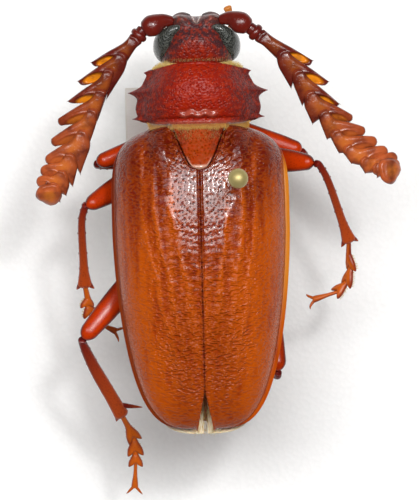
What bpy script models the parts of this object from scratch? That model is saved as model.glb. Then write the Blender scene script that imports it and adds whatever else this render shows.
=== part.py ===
"""Dried, pinned specimen of a male sand prionus beetle, life size, on its insect pin in a foam block.

The beetle lies level with its back up and its head towards +Y. The pin runs down through the right
wing case and the hind thorax, through a blank card label, and into the block. Metres, +Z up, with the
origin at the middle of the block's underside. Points are written in millimetres through mm().
"""

import math

import bmesh
import bpy
from mathutils import Matrix, Vector
from mathutils.geometry import interpolate_bezier

MM = 0.001
GAP = 0.3 * MM
SIDES = (("left", -1.0), ("right", 1.0))
SHARP_EDGE = math.radians(50)
# Least size of a pinched section, and the overlap of pieces that are joined
SLIVER = 0.02 * MM

# Foam block, pin and label
BASE_SIZE = Vector((33.0, 39.0, 10.0)) * MM
BASE_EDGE = 0.6 * MM
BASE_EDGE_SEGMENTS = 3
PIN_RADIUS = 0.25 * MM
PIN_LENGTH = 38.0 * MM
PIN_HEAD_RADIUS = 0.66 * MM
PIN_POINT_LENGTH = 1.6 * MM
PIN_POINT_RADIUS = 0.06 * MM
PIN_X, PIN_Y = 2.5 * MM, 4.6 * MM
PIN_BOTTOM = 0.8 * MM
LABEL_LOW = Vector((-5.1, -3.4, 14.4)) * MM
LABEL_SIZE = Vector((8.6, 14.8, 0.5)) * MM

# Wing cases: one dome over the hind body, parted down the middle
MARGIN_Z = 28.4 * MM
DOME_MIDDLE_Y = 1.6 * MM
DOME_HALF_WIDTH = 5.96 * MM
DOME_HEIGHT = 3.6 * MM
DOME_BACK = 13.6 * MM
DOME_FRONT = 6.85 * MM
DOME_FRONT_END = 8.1 * MM
SIDE_BEND_BACK, SIDE_POWER_BACK = 1.6, 4.05
SIDE_BEND_FRONT, SIDE_POWER_FRONT = 5.0, 2.7
TOP_BEND_BACK, TOP_POWER_BACK = 2.6, 0.62
TOP_BEND_FRONT, TOP_SINK_FRONT = 2.5, 0.3
SHELL = 0.5 * MM
RIM = 0.32 * MM
RIM_DEPTH = 0.5 * MM
SUTURE_SPLIT_Y = -5.4 * MM
SUTURE_GAP_AT_TIP = 0.62 * MM
SUTURE_WIDENING = ((-9.8 * MM, 0.42), (-12.2 * MM, 1.0))
CUT_REACH, CUT_LOW, CUT_HIGH = 20 * MM, 20 * MM, 40 * MM
WING_HALF_WIDTH = 4.5 * MM
WING_THICKNESS = 0.5 * MM
WING_TIP_Y = -12.35 * MM
WING_FOLD_Y = -1.5 * MM
WING_DIP_Y, WING_DIP_SLOPE = -8.9 * MM, 0.85
WING_STATIONS = [y * MM for y in (-0.6, -3.0, -6.0, -8.3, -9.6, -10.2, -11.2, -11.8, -12.25)]

# Shield between the wing-case roots
SCUTELLUM_TIP_Y = 5.36 * MM
SCUTELLUM_LENGTH = 2.7 * MM
SCUTELLUM_TOP = 31.05 * MM
SCUTELLUM_DEPTH = 0.9 * MM
SCUTELLUM_MIDDLE_Y = 7.2 * MM
SCUTELLUM_SLOPE = 0.12

# Body lengths along Y
MESOTHORAX_Y = (8.0 * MM, 5.75 * MM)
METATHORAX_Y = (5.45 * MM, -0.3 * MM)
VENTRITE_EDGES = [y * MM for y in (-0.6, -3.4, -5.5, -7.5, -9.4, -11.5)]
STERNUM_Z = 24.2 * MM
WAIST_Z = 27.3 * MM
SHOULDER_Z = 28.15 * MM
HEAD_WAIST_Z = 27.6 * MM

# Sections of the front thorax: place, half width, rise over the side edge and drop under it, in millimetres
PROTHORAX_SECTIONS = (
    (8.42, 3.6, 1.75, 2.3),
    (8.75, 4.05, 2.1, 2.9),
    (9.3, 4.2, 2.45, 3.35),
    (10.1, 4.15, 2.65, 3.5),
    (10.8, 4.02, 2.6, 3.4),
    (11.5, 3.75, 2.35, 3.1),
    (12.1, 3.4, 2.05, 2.8),
    (12.42, 3.05, 1.75, 2.5),
)
# Its teeth: root and tip in plan, and half width at the root
PROTHORAX_TEETH = (
    ((3.1, 11.7), (3.62, 11.98), 0.2),
    ((3.6, 10.78), (4.72, 10.62), 0.45),
    ((3.75, 9.25), (4.42, 8.86), 0.25),
)
# Sections of the head: place, half width, top and bottom level
HEAD_SECTIONS = (
    (12.75, 2.05, 29.9, 25.5),
    (13.3, 2.35, 30.25, 25.0),
    (13.9, 2.38, 30.35, 24.75),
    (14.5, 2.2, 30.2, 24.75),
    (15.05, 1.9, 29.85, 24.95),
    (15.45, 1.5, 29.35, 25.35),
)
KNOB_CENTRE, KNOB_RADII = (1.0, 15.3, 29.2), (0.78, 0.6, 0.62)
LIP = ((0.0, 15.5, 24.78), (0.0, 15.5, 24.08))
JAW = ((1.25, 14.95, 24.3), (1.3, 15.5, 23.85), (0.95, 15.9, 23.2), (0.42, 16.0, 22.75))
PALPS = {
    "maxillary_palp_right": ((1.75, 13.9, 24.1), (2.35, 14.9, 24.2), (2.35, 15.7, 24.7), (2.1, 16.35, 25.2)),
    "maxillary_palp_left": ((-1.75, 13.9, 24.1), (-2.3, 14.7, 23.7), (-2.2, 15.4, 23.2), (-1.9, 15.9, 22.6)),
    "labial_palp_right": ((0.5, 13.9, 23.95), (0.65, 14.4, 23.3), (0.55, 14.8, 22.6)),
    "labial_palp_left": ((-0.5, 13.9, 23.95), (-0.6, 14.4, 23.3), (-0.5, 14.8, 22.6)),
}
# Centre and radii of each pair of hips, for the right side
COXAE = {
    "front": ((1.45, 9.4, 24.75), (0.95, 0.85, 0.95)),
    "middle": ((1.95, 6.3, 24.4), (0.95, 0.85, 0.95)),
    "hind": ((2.45, 0.45, 24.5), (1.9, 0.72, 0.8)),
}

COLOURS = {
    "body_red": ((0.28, 0.03, 0.012, 1.0), 0.32),
    "wing_case": ((0.45, 0.11, 0.02, 1.0), 0.30),
    "antenna_brown": ((0.42, 0.12, 0.03, 1.0), 0.42),
    "leg_red": ((0.35, 0.05, 0.015, 1.0), 0.30),
    "tarsus_amber": ((0.55, 0.2, 0.04, 1.0), 0.45),
    "eye_black": ((0.03, 0.032, 0.028, 1.0), 0.35),
    "wing_membrane": ((0.8, 0.72, 0.55, 1.0), 0.4),
    "pin_steel": ((0.7, 0.66, 0.35, 1.0), 0.3),
    "label_card": ((0.88, 0.87, 0.84, 1.0), 0.8),
    "foam_white": ((0.9, 0.9, 0.88, 1.0), 0.9),
}


def mm(x, y, z):
    """A point given in millimetres, in metres."""
    return Vector((x, y, z)) * MM


def clear_scene():
    """Removes whatever the opened file holds."""
    for old in list(bpy.data.objects):
        bpy.data.objects.remove(old)


def new_collection(name):
    """A collection linked to the scene."""
    collection = bpy.data.collections.new(name)
    bpy.context.scene.collection.children.link(collection)
    return collection


def make_materials():
    """One plain material for each finish."""
    made = {}
    for name, (colour, roughness) in COLOURS.items():
        material = bpy.data.materials.new(name)
        material.use_nodes = True
        shader = material.node_tree.nodes["Principled BSDF"]
        shader.inputs["Base Color"].default_value = colour
        shader.inputs["Roughness"].default_value = roughness
        shader.inputs["Metallic"].default_value = 1.0 if name == "pin_steel" else 0.0
        made[name] = material
    return made


clear_scene()
SPECIMEN = new_collection("pinned_prionus")
CUTTERS = new_collection("cutters")
MATERIALS = make_materials()


def object_from(name, mesh, material=None):
    """A new object of the specimen, or a cutter where it has no material."""
    made = bpy.data.objects.new(name, mesh)
    if material:
        SPECIMEN.objects.link(made)
        mesh.materials.append(MATERIALS[material])
        mesh.shade_smooth()
        mesh.set_sharp_from_angle(angle=SHARP_EDGE)
    else:
        CUTTERS.objects.link(made)
        made.hide_render = True
        made.display_type = "WIRE"
    return made


def object_from_bmesh(name, work, material=None):
    """Turns a bmesh into an object with its faces pointing out."""
    bmesh.ops.recalc_face_normals(work, faces=work.faces)
    mesh = bpy.data.meshes.new(name)
    work.to_mesh(mesh)
    work.free()
    return object_from(name, mesh, material)


def loft(name, rings, material=None):
    """A solid through rings of equal count, flat at both ends."""
    work = bmesh.new()
    rows = [[work.verts.new(point) for point in ring] for ring in rings]
    count = len(rows[0])
    for first, second in zip(rows, rows[1:]):
        for i in range(count):
            j = (i + 1) % count
            work.faces.new((first[i], first[j], second[j], second[i]))
    work.faces.new(rows[0])
    work.faces.new(rows[-1])
    return object_from_bmesh(name, work, material)


def ellipsoid(name, centre, radii, material=None, segments=12, rings=8):
    """A stretched ball."""
    work = bmesh.new()
    bmesh.ops.create_uvsphere(work, u_segments=segments, v_segments=rings, radius=1.0)
    place = Matrix.Translation(centre) @ Matrix.Diagonal((*radii, 1.0))
    bmesh.ops.transform(work, matrix=place, verts=work.verts)
    return object_from_bmesh(name, work, material)


def block(name, low, size, material=None):
    """A box from its lowest corner and its size."""
    work = bmesh.new()
    bmesh.ops.create_cube(work, size=1.0)
    matrix = Matrix.Translation(low + size / 2) @ Matrix.Diagonal((*size, 1.0))
    bmesh.ops.transform(work, matrix=matrix, verts=work.verts)
    return object_from_bmesh(name, work, material)


def cylinder(name, low, radius, length, material=None, top_radius=None, segments=16):
    """An upright cylinder or cone from the middle of its lower end."""
    work = bmesh.new()
    bmesh.ops.create_cone(
        work,
        cap_ends=True,
        segments=segments,
        radius1=radius,
        radius2=radius if top_radius is None else top_radius,
        depth=length,
    )
    bmesh.ops.translate(work, vec=low + Vector((0, 0, length / 2)), verts=work.verts)
    return object_from_bmesh(name, work, material)


def prism(name, outline, low, high, material=None):
    """A flat outline in plan, a list of (x, y), drawn up from one level to another."""
    return loft(name, [[Vector((x, y, z)) for x, y in outline] for z in (low, high)], material)


def smooth_path(points, steps):
    """Points on a smooth curve through the given ones, with so many steps in each span."""
    path = [points[0]]
    for i in range(len(points) - 1):
        before = points[max(i - 1, 0)]
        after = points[min(i + 2, len(points) - 1)]
        start, end = points[i], points[i + 1]
        handle_a = start + (end - before) / 6
        handle_b = end - (after - start) / 6
        path += interpolate_bezier(start, handle_a, handle_b, end, steps + 1)[1:]
    return path


def spread(values, count):
    """Values read evenly along a list by straight lines."""
    last = len(values) - 1
    read = []
    for i in range(count):
        place = last * i / (count - 1)
        k = min(int(place), last - 1)
        read.append(values[k] + (values[k + 1] - values[k]) * (place - k))
    return read


def limb(
    name, points, widths, depths, material=None, flat=(0, 0, 1), sides=10, steps=2, grow=0.0, square=2.0
):
    """A rod of oval section along a smooth path, with rounded ends.

    widths and depths are half sizes in millimetres, across the path in the plane that flat stands on,
    and along flat. grow makes all of it larger, for a cutter that leaves a gap.
    """
    path = smooth_path([Vector(p) for p in points], steps)
    count = len(path)
    half_widths = [w * MM + grow for w in spread(widths, count)]
    half_depths = [d * MM + grow for d in spread(depths, count)]
    tangents = [(path[min(i + 1, count - 1)] - path[max(i - 1, 0)]).normalized() for i in range(count)]
    stations = list(zip(path, tangents, half_widths, half_depths, [1.0] * count))
    for end, sign in ((0, -1.0), (-1, 1.0)):
        point, tangent, width, depth, _ = stations[end]
        reach = 0.45 * min(width, depth) + grow
        rounded = (point + tangent * sign * reach, tangent, width, depth, 0.6)
        if sign < 0:
            stations.insert(0, rounded)
        else:
            stations.append(rounded)
    rings = []
    for point, tangent, width, depth, share in stations:
        across = tangent.cross(Vector(flat)).normalized()
        up = across.cross(tangent)
        ring = []
        for i in range(sides):
            angle = 2 * math.pi * i / sides
            c, s = math.cos(angle), math.sin(angle)
            c = math.copysign(abs(c) ** (2 / square), c)
            s = math.copysign(abs(s) ** (2 / square), s)
            ring.append(point + across * (width * share * c) + up * (depth * share * s))
        rings.append(ring)
    return loft(name, rings, material)


def slab(name, centre, outline, up, levels, material=None):
    """A flat piece with softened faces: an outline of points, repeated at each (height, share) level.

    Heights run along up in millimetres, and each share draws the outline in towards the centre.
    """
    rings = []
    for height, share in levels:
        lift = up * (height * MM)
        rings.append([centre + (point - centre) * share + lift for point in outline])
    return loft(name, rings, material)


def applied(target):
    """Fixes a target's modifiers into its mesh."""
    mesh = bpy.data.meshes.new_from_object(target.evaluated_get(bpy.context.evaluated_depsgraph_get()))
    mesh.name = target.name
    target.modifiers.clear()
    target.data = mesh
    return target


def adopt(piece, name, material):
    """Turns a piece made for joining into a named part of the specimen."""
    CUTTERS.objects.unlink(piece)
    SPECIMEN.objects.link(piece)
    piece.name = name
    piece.hide_render = False
    piece.display_type = "TEXTURED"
    piece.data.materials.append(MATERIALS[material])
    return piece


def keep_largest(target):
    """Drops every loose surface of a mesh but the one that encloses most."""
    work = bmesh.new()
    work.from_mesh(target.data)
    seen, groups = set(), []
    for first in work.verts:
        if first in seen:
            continue
        stack, group = [first], []
        seen.add(first)
        while stack:
            vert = stack.pop()
            group.append(vert)
            for edge in vert.link_edges:
                other = edge.other_vert(vert)
                if other not in seen:
                    seen.add(other)
                    stack.append(other)
        groups.append(group)
    if len(groups) > 1:
        spans = []
        for group in groups:
            low = Vector([min(v.co[k] for v in group) for k in range(3)])
            high = Vector([max(v.co[k] for v in group) for k in range(3)])
            spans.append((high - low).length)
        largest = spans.index(max(spans))
        for i, group in enumerate(groups):
            if i != largest:
                bmesh.ops.delete(work, geom=group, context="VERTS")
    work.to_mesh(target.data)
    work.free()
    return target


def combine(target, operation, pieces, solver="EXACT"):
    """Joins pieces to a target or cuts them from it, by one Boolean on their collection, and removes them."""
    group = bpy.data.collections.new("operands")
    bpy.context.scene.collection.children.link(group)
    for piece in pieces:
        group.objects.link(piece)
    modifier = target.modifiers.new("boolean", "BOOLEAN")
    modifier.operation = operation
    modifier.operand_type = "COLLECTION"
    modifier.collection = group
    modifier.solver = solver
    applied(target)
    for piece in pieces:
        bpy.data.objects.remove(piece)
    bpy.data.collections.remove(group)
    keep_largest(target)
    target.data.shade_smooth()
    target.data.set_sharp_from_angle(angle=SHARP_EDGE)
    return target


def pin_clearance():
    """A cutter round the pin that leaves the touching gap."""
    low = Vector((PIN_X, PIN_Y, PIN_BOTTOM - GAP))
    return cylinder("pin_clearance", low, PIN_RADIUS + GAP, PIN_LENGTH, segments=12)


def dome_share(y, back, front, power_back, power_front):
    """How far y is from the dome's middle towards either end, raised to that end's power."""
    if y < DOME_MIDDLE_Y:
        return min(((DOME_MIDDLE_Y - y) / back), 1.0) ** power_back
    return min(((y - DOME_MIDDLE_Y) / front), 1.0) ** power_front


def dome_half_width(y, shrink=0.0):
    """Half the width of the wing-case dome: a long taper to a blunt rear, a square shoulder in front."""
    power = SIDE_POWER_BACK if y < DOME_MIDDLE_Y else SIDE_POWER_FRONT
    share = dome_share(y, DOME_BACK - shrink, DOME_FRONT - shrink / 2, SIDE_BEND_BACK, SIDE_BEND_FRONT)
    return (DOME_HALF_WIDTH - shrink) * (1 - share) ** (1 / power)


def dome_height(y, shrink=0.0):
    """The dome's height over its margin along the middle line."""
    height = DOME_HEIGHT - shrink
    if y < DOME_MIDDLE_Y:
        return height * (1 - dome_share(y, DOME_BACK - shrink, 1.0, TOP_BEND_BACK, 1.0)) ** TOP_POWER_BACK
    return height * (1 - TOP_SINK_FRONT * dome_share(y, 1.0, DOME_FRONT, 1.0, TOP_BEND_FRONT))


def dome_stations(front_y, shrink, back_rows=11, front_rows=7):
    """Stations along the dome, closer together towards its rounded ends."""
    back_reach = (DOME_BACK - shrink) * 0.9985
    ys = []
    for i in range(front_rows):
        angle = math.pi / 2 * (1 - i / front_rows)
        ys.append(DOME_MIDDLE_Y + (front_y - DOME_MIDDLE_Y) * math.sin(angle))
    for i in range(back_rows + 1):
        angle = math.pi / 2 * i / back_rows
        ys.append(DOME_MIDDLE_Y - back_reach * math.sin(angle))
    return ys


def dome(name, shrink_side, shrink_top, floor_z, front_y, columns=14):
    """A solid dome over a flat floor, used for the wing cases and for what lies close under them."""
    rings = []
    for y in dome_stations(front_y, shrink_side):
        half_width = max(dome_half_width(y, shrink_side), SLIVER)
        height = max(dome_height(y, shrink_top), SLIVER)
        ring = []
        for i in range(columns + 1):
            angle = math.pi * i / columns
            c, s = math.cos(angle), math.sin(angle)
            x = half_width * math.copysign(abs(c) ** 0.72, c)
            ring.append(Vector((x, y, MARGIN_Z + height * s**1.05)))
        ring.append(Vector((-half_width, y, floor_z)))
        ring.append(Vector((half_width, y, floor_z)))
        rings.append(ring)
    return loft(name, rings)


def scutellum_half_width(y):
    """Half the width of the tongue-shaped shield, from its rounded tip to its broad root."""
    share = min(max((y - SCUTELLUM_TIP_Y) / SCUTELLUM_LENGTH, 0.0), 1.0)
    return (1.55 * share**0.42 + 0.45 * share**3) * MM


def scutellum_outline(grow, root_y):
    """The shield's outline in plan, grown by a gap where it cuts its neighbours."""
    shares = (0.0, 0.03, 0.12, 0.3, 0.55, 0.8, 1.0)
    right = []
    for share in shares:
        y = SCUTELLUM_TIP_Y + SCUTELLUM_LENGTH * share
        right.append((scutellum_half_width(y) + grow * min(1.0, 0.4 + 6 * share), y - grow * (1 - share)))
    right.append((right[-1][0] + 0.1 * MM, root_y))
    return right + [(-x, y) for x, y in reversed(right)]


def make_elytra():
    """Both wing cases: a domed shell with a thin outer rim, parted by the suture that opens at the tip."""
    for side_name, side in SIDES:
        case = dome("case", RIM, 0.0, MARGIN_Z - RIM_DEPTH, DOME_FRONT_END)
        adopt(case, f"elytron_{side_name}", "wing_case")
        right_edge = [(dome_half_width(y) + SLIVER / 2, y) for y in dome_stations(DOME_FRONT_END, 0.0)]
        outline = right_edge + [(-x, y) for x, y in reversed(right_edge)]
        rim = prism("rim", outline, MARGIN_Z - RIM_DEPTH, MARGIN_Z + SLIVER)
        combine(case, "UNION", [rim])
        hollow = dome("hollow", RIM + SHELL, SHELL, MARGIN_Z - 2 * MM, DOME_FRONT_END + 1 * MM)
        split = [
            (-side * CUT_REACH, CUT_REACH),
            (side * GAP / 2, CUT_REACH),
            (side * GAP / 2, SUTURE_SPLIT_Y),
            *[(side * SUTURE_GAP_AT_TIP * share, y) for y, share in SUTURE_WIDENING],
            (side * SUTURE_GAP_AT_TIP, -CUT_REACH),
            (-side * CUT_REACH, -CUT_REACH),
        ]
        other_half = prism("other_half", split, CUT_LOW, CUT_HIGH)
        shield = prism("shield", scutellum_outline(GAP, CUT_REACH / 2), CUT_LOW, CUT_HIGH)
        cutters = [hollow, other_half, shield]
        if side > 0:
            cutters.append(pin_clearance())
        combine(case, "DIFFERENCE", cutters)


def wing_crest(y):
    """Top level of the folded hind wings along the middle line; it dips under the wing-case tips."""
    roomy = MARGIN_Z + dome_height(y, SHELL + GAP + 0.15 * MM)
    dip = MARGIN_Z + 0.1 * MM + WING_DIP_SLOPE * (y - WING_DIP_Y)
    return max(min(roomy, dip), MARGIN_Z - RIM_DEPTH - GAP - 0.05 * MM)


def wing_half_width(y):
    """Half the width over both folded hind wings, which narrow to a rounded tip behind the wing cases."""
    share = min(max((WING_FOLD_Y - y) / (WING_FOLD_Y - WING_TIP_Y), 0.0), 1.0)
    free = WING_HALF_WIDTH * (1 - share**3.0) ** 0.28
    under_rim = wing_crest(y) < MARGIN_Z - RIM_DEPTH - GAP
    return free if under_rim else min(free, dome_half_width(y, RIM + SHELL + GAP) - 0.15 * MM)


def make_hind_wings():
    """The folded hind wings, which lie between the wing cases and the abdomen and show at the tip."""
    for side_name, side in SIDES:
        rings = []
        for y in WING_STATIONS:
            half_width, crest = wing_half_width(y), wing_crest(y)
            edge = min(MARGIN_Z - 0.4 * MM, crest - 0.05 * MM)
            upper, lower = [], []
            for k in range(6):
                t = k / 5
                x = side * (GAP / 2 + (half_width - GAP / 2) * t)
                z = edge + (crest - edge) * math.sqrt(1 - t**2.4)
                upper.append(Vector((x, y, z)))
                lower.append(Vector((x * 0.985, y, z - WING_THICKNESS)))
            rings.append(upper + list(reversed(lower)))
        loft(f"hind_wing_{side_name}", rings, "wing_membrane")


def make_scutellum():
    """The tongue-shaped shield, a little crowned, between the wing-case roots."""
    outline = scutellum_outline(0.0, DOME_FRONT_END)
    middle = Vector((0, SCUTELLUM_MIDDLE_Y, 0))
    levels = ((-SCUTELLUM_DEPTH, 0.9), (-0.15 * MM, 1.0), (0.05 * MM, 0.9), (0.16 * MM, 0.6))
    rings = []
    for rise, share in levels:
        ring = []
        for x, y in outline:
            flat = middle + (Vector((x, y, 0)) - middle) * share
            sink = SCUTELLUM_SLOPE * (flat.y - middle.y)
            ring.append(Vector((flat.x, flat.y, SCUTELLUM_TOP + rise - sink)))
        rings.append(ring)
    loft("scutellum", rings, "body_red")


def body_ring(y, half_width, top, bottom, waist, columns=20, power=2.3):
    """A closed cross-section of the trunk: rounded above the waist level and below it."""
    ring = []
    for i in range(columns):
        angle = 2 * math.pi * i / columns
        c, s = math.cos(angle), math.sin(angle)
        x = half_width * math.copysign(abs(c) ** (2 / power), c)
        rise = math.copysign(abs(s) ** (2 / power), s)
        ring.append(Vector((x, y, waist + rise * (top - waist if rise > 0 else waist - bottom))))
    return ring


def under_cases(y, clearance):
    """Half width and top level that stay clear under the wing cases."""
    half_width = dome_half_width(y, RIM + SHELL + GAP)
    top = MARGIN_Z + dome_height(y, SHELL + clearance)
    return half_width, top


def coxa(name, pair, side, grow=0.0, material=None):
    """One hip, or a grown copy that cuts its socket."""
    (x, y, z), radii = COXAE[pair]
    return ellipsoid(name, mm(side * x, y, z), mm(*radii) + Vector((grow, grow, grow)), material)


def coxa_cutters(pairs):
    """Grown hips that cut their sockets."""
    return [coxa("socket", pair, side, grow=GAP) for pair in pairs for _, side in SIDES]


def make_mesothorax():
    """The short middle thorax, which carries the shield on a neck and the middle legs below."""
    front, back = MESOTHORAX_Y
    ceiling = SCUTELLUM_TOP - SCUTELLUM_DEPTH - GAP - 0.12 * MM
    sections = (
        (front, 3.0 * MM, 27.5 * MM, 25.9 * MM),
        (6.9 * MM, 3.8 * MM, 27.55 * MM, 24.8 * MM),
        (6.5 * MM, 4.2 * MM, ceiling, STERNUM_Z + 0.35 * MM),
        (back, 4.5 * MM, ceiling, STERNUM_Z + 0.2 * MM),
    )
    rings = [body_ring(y, w, top, low, min(WAIST_Z, top - 0.2 * MM)) for y, w, top, low in sections]
    thorax = loft("mesothorax", rings, "body_red")
    neck = block("neck", mm(-1.3, 6.0, 26.9), Vector((2.6 * MM, 1.75 * MM, ceiling - 26.9 * MM)))
    combine(thorax, "UNION", [neck])
    combine(thorax, "DIFFERENCE", coxa_cutters(["middle"]))


def make_metathorax():
    """The broad hind thorax, which carries the wings and the hind legs and is pierced by the pin."""
    front, back = METATHORAX_Y
    ceiling = SCUTELLUM_TOP - SCUTELLUM_DEPTH - GAP - 0.3 * MM
    rings = []
    stations = (
        (front, 0.25, ceiling),
        (4.6 * MM, 0.05, ceiling + 0.3 * MM),
        (3.6 * MM, 0.0, 1.0),
        (1.2 * MM, 0.1, 1.0),
        (back, 0.45, 1.0),
    )
    for y, low, limit in stations:
        half_width, top = under_cases(y, GAP)
        top = min(top - 0.1 * MM, limit)
        rings.append(body_ring(y, half_width - 0.05 * MM, top, STERNUM_Z + low * MM, WAIST_Z + 0.1 * MM))
    thorax = loft("metathorax", rings, "body_red")
    combine(thorax, "DIFFERENCE", [*coxa_cutters(["middle", "hind"]), pin_clearance()])


def abdomen_section(y, swell):
    """A cross-section of the abdomen, which stays clear under the folded wings and inside the wing cases."""
    first, last = VENTRITE_EDGES[0], VENTRITE_EDGES[-1]
    share = (first - y) / (first - last)
    top = wing_crest(y) - WING_THICKNESS - GAP - 0.35 * MM
    bottom = STERNUM_Z + (0.5 + 1.0 * share**1.6) * MM
    half_width = min(dome_half_width(y, RIM + SHELL + GAP), 4.8 * MM)
    half_width = 0.87 * max(half_width, (3.1 - 1.7 * share) * MM)
    waist = min(WAIST_Z - 0.9 * MM * share**3, top - 0.2 * MM)
    return body_ring(y, half_width * swell, top, bottom - (swell - 1) * 2 * MM, waist)


def make_abdomen():
    """The abdomen, with five plates below that overlap like tiles."""
    rings = []
    for front, back in zip(VENTRITE_EDGES, VENTRITE_EDGES[1:]):
        rings.append(abdomen_section(front, 0.97))
        rings.append(abdomen_section((front + back) / 2, 0.99))
        rings.append(abdomen_section(back + 0.14 * MM, 1.0))
    rings.append(abdomen_section(VENTRITE_EDGES[-1] - 0.05 * MM, 0.8))
    abdomen = loft("abdomen", rings, "body_red")
    combine(abdomen, "DIFFERENCE", coxa_cutters(["hind"]))


def make_prothorax():
    """The shield-like front thorax, with a sharp side edge and three teeth on each side."""
    steps = 14
    rings = []
    for y, half_width, rise, drop in PROTHORAX_SECTIONS:
        ring = []
        for i in range(steps):
            t = 1 - 2 * i / steps
            top = SHOULDER_Z + rise * MM * (1 - abs(t) ** 2.5)
            ring.append(Vector((half_width * t * MM, y * MM, top)))
        for i in range(steps):
            t = -1 + 2 * i / steps
            low = SHOULDER_Z - drop * MM * (1 - abs(t) ** 2.0)
            ring.append(Vector((half_width * t * MM, y * MM, low)))
        rings.append(ring)
    thorax = loft("prothorax", rings, "body_red")
    teeth = []
    for root, tip, width in PROTHORAX_TEETH:
        for _, side in SIDES:
            start = Vector((side * root[0] * MM, root[1] * MM, SHOULDER_Z))
            end = Vector((side * tip[0] * MM, tip[1] * MM, SHOULDER_Z))
            middle = start.lerp(end, 0.55)
            widths = [width, width * 0.55, 0.07]
            teeth.append(limb("tooth", [start, middle, end], widths, [0.3, 0.22, 0.07], steps=1, sides=6))
    combine(thorax, "UNION", teeth)
    combine(thorax, "DIFFERENCE", coxa_cutters(["front"]))


EYE_PATH = ((1.55, 14.65, 29.3), (2.15, 14.05, 28.7), (2.25, 13.75, 27.4), (1.95, 14.2, 26.0))


def eye(name, side, grow=0.0, material=None):
    """A kidney-shaped eye, bent round the root of the antenna."""
    path = [mm(side * x, y, z) for x, y, z in EYE_PATH]
    widths, depths = [0.42, 0.62, 0.72, 0.5], [0.4, 0.68, 0.72, 0.5]
    return limb(name, path, widths, depths, material, flat=(1, 0, 0), sides=12, grow=grow)


def make_head():
    """The short, bent-down head, its antenna knobs, and the sockets of its eyes."""
    rings = [body_ring(y * MM, w * MM, top * MM, low * MM, HEAD_WAIST_Z) for y, w, top, low in HEAD_SECTIONS]
    head = loft("head", rings, "body_red")
    x, y, z = KNOB_CENTRE
    knobs = [ellipsoid("knob", mm(side * x, y, z), mm(*KNOB_RADII)) for _, side in SIDES]
    combine(head, "UNION", knobs)
    combine(head, "DIFFERENCE", [eye("eye_socket", side, grow=GAP) for _, side in SIDES])
    for side_name, side in SIDES:
        eye(f"eye_{side_name}", side, material="eye_black")


def make_mouthparts():
    """Upper lip, jaws and feelers of the mouth, under the front of the head."""
    limb("labrum", [mm(*p) for p in LIP], [0.75, 0.55], [0.27, 0.25], "body_red", flat=(0, 1, 0))
    for side_name, side in SIDES:
        jaw = [mm(side * x, y, z) for x, y, z in JAW]
        widths, depths = [0.45, 0.46, 0.36, 0.08], [0.5, 0.48, 0.32, 0.08]
        limb(f"mandible_{side_name}", jaw, widths, depths, "body_red", flat=(0, 1, 0))
    for name, points in PALPS.items():
        path = [mm(*p) for p in points]
        limb(name, path, [0.25, 0.25, 0.3, 0.32], [0.25, 0.25, 0.26, 0.26], "tarsus_amber", sides=8)


# Feelers in plan, millimetres: the joints after the ring-like second segment, the tips of the outer
# lobes of segments 3 to 11, and the tips of the inner teeth of segments 4 to 11
SCAPES = {
    "left": ((-2.2, 15.4, 29.4), (-2.95, 15.22, 29.5), (-3.62, 14.78, 29.4)),
    "right": ((2.2, 15.4, 29.4), (2.95, 15.22, 29.5), (3.62, 14.72, 29.4)),
}
JOINTS = {
    "left": (
        (-4.15, 14.1), (-5.03, 13.05), (-5.92, 12.0), (-6.49, 10.61), (-7.09, 9.35), (-7.76, 7.96),
        (-8.67, 6.4), (-9.23, 5.25), (-9.93, 4.26), (-10.07, 3.59), (-9.9, 3.1),
    ),
    "right": (
        (4.35, 14.15), (5.72, 12.97), (6.72, 11.64), (7.51, 10.21), (8.41, 8.88), (9.15, 7.56),
        (9.97, 6.51), (11.07, 5.64), (11.88, 5.15), (12.7, 4.98), (13.3, 4.95),
    ),
}
LOBE_TIPS = {
    "left": (
        (-7.11, 12.7), (-8.03, 11.47), (-8.74, 10.14), (-9.4, 8.67), (-9.88, 7.3), (-10.3, 6.11),
        (-10.68, 5.39), (-11.0, 4.75), (-10.97, 4.1),
    ),
    "right": (
        (7.75, 12.48), (8.79, 11.05), (9.48, 9.53), (10.31, 8.47), (11.16, 7.6), (11.96, 6.92),
        (12.68, 6.3), (13.37, 6.05), (13.83, 5.57),
    ),
}
TOOTH_TIPS = {
    "left": (
        (-6.1, 10.26), (-6.73, 8.87), (-7.37, 7.41), (-7.73, 6.3), (-8.0, 5.28), (-8.53, 4.44),
        (-9.0, 3.83), (-9.43, 3.33),
    ),
    "right": (
        (6.23, 10.66), (6.95, 9.49), (7.62, 8.24), (8.57, 7.19), (9.36, 6.24), (10.18, 5.52),
        (11.1, 4.84), (11.89, 4.54),
    ),
}
FEELER_ROOT_Z, FEELER_TIP_Z = 29.3, 27.9
PEDICEL_SHORT = 0.55 * MM
BARREL_LEVELS = ((-0.38, 0.5), (-0.2, 1.0), (0.2, 1.0), (0.38, 0.5))
LOBE_LEVELS = ((-0.29, 0.6), (0.01, 1.0), (0.26, 0.62))


def feeler_level(k):
    """Height of the feeler's middle line at joint k, in millimetres."""
    share = k / (len(JOINTS["left"]) - 1)
    return FEELER_ROOT_Z + (FEELER_TIP_Z - FEELER_ROOT_Z) * share**1.4


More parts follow.
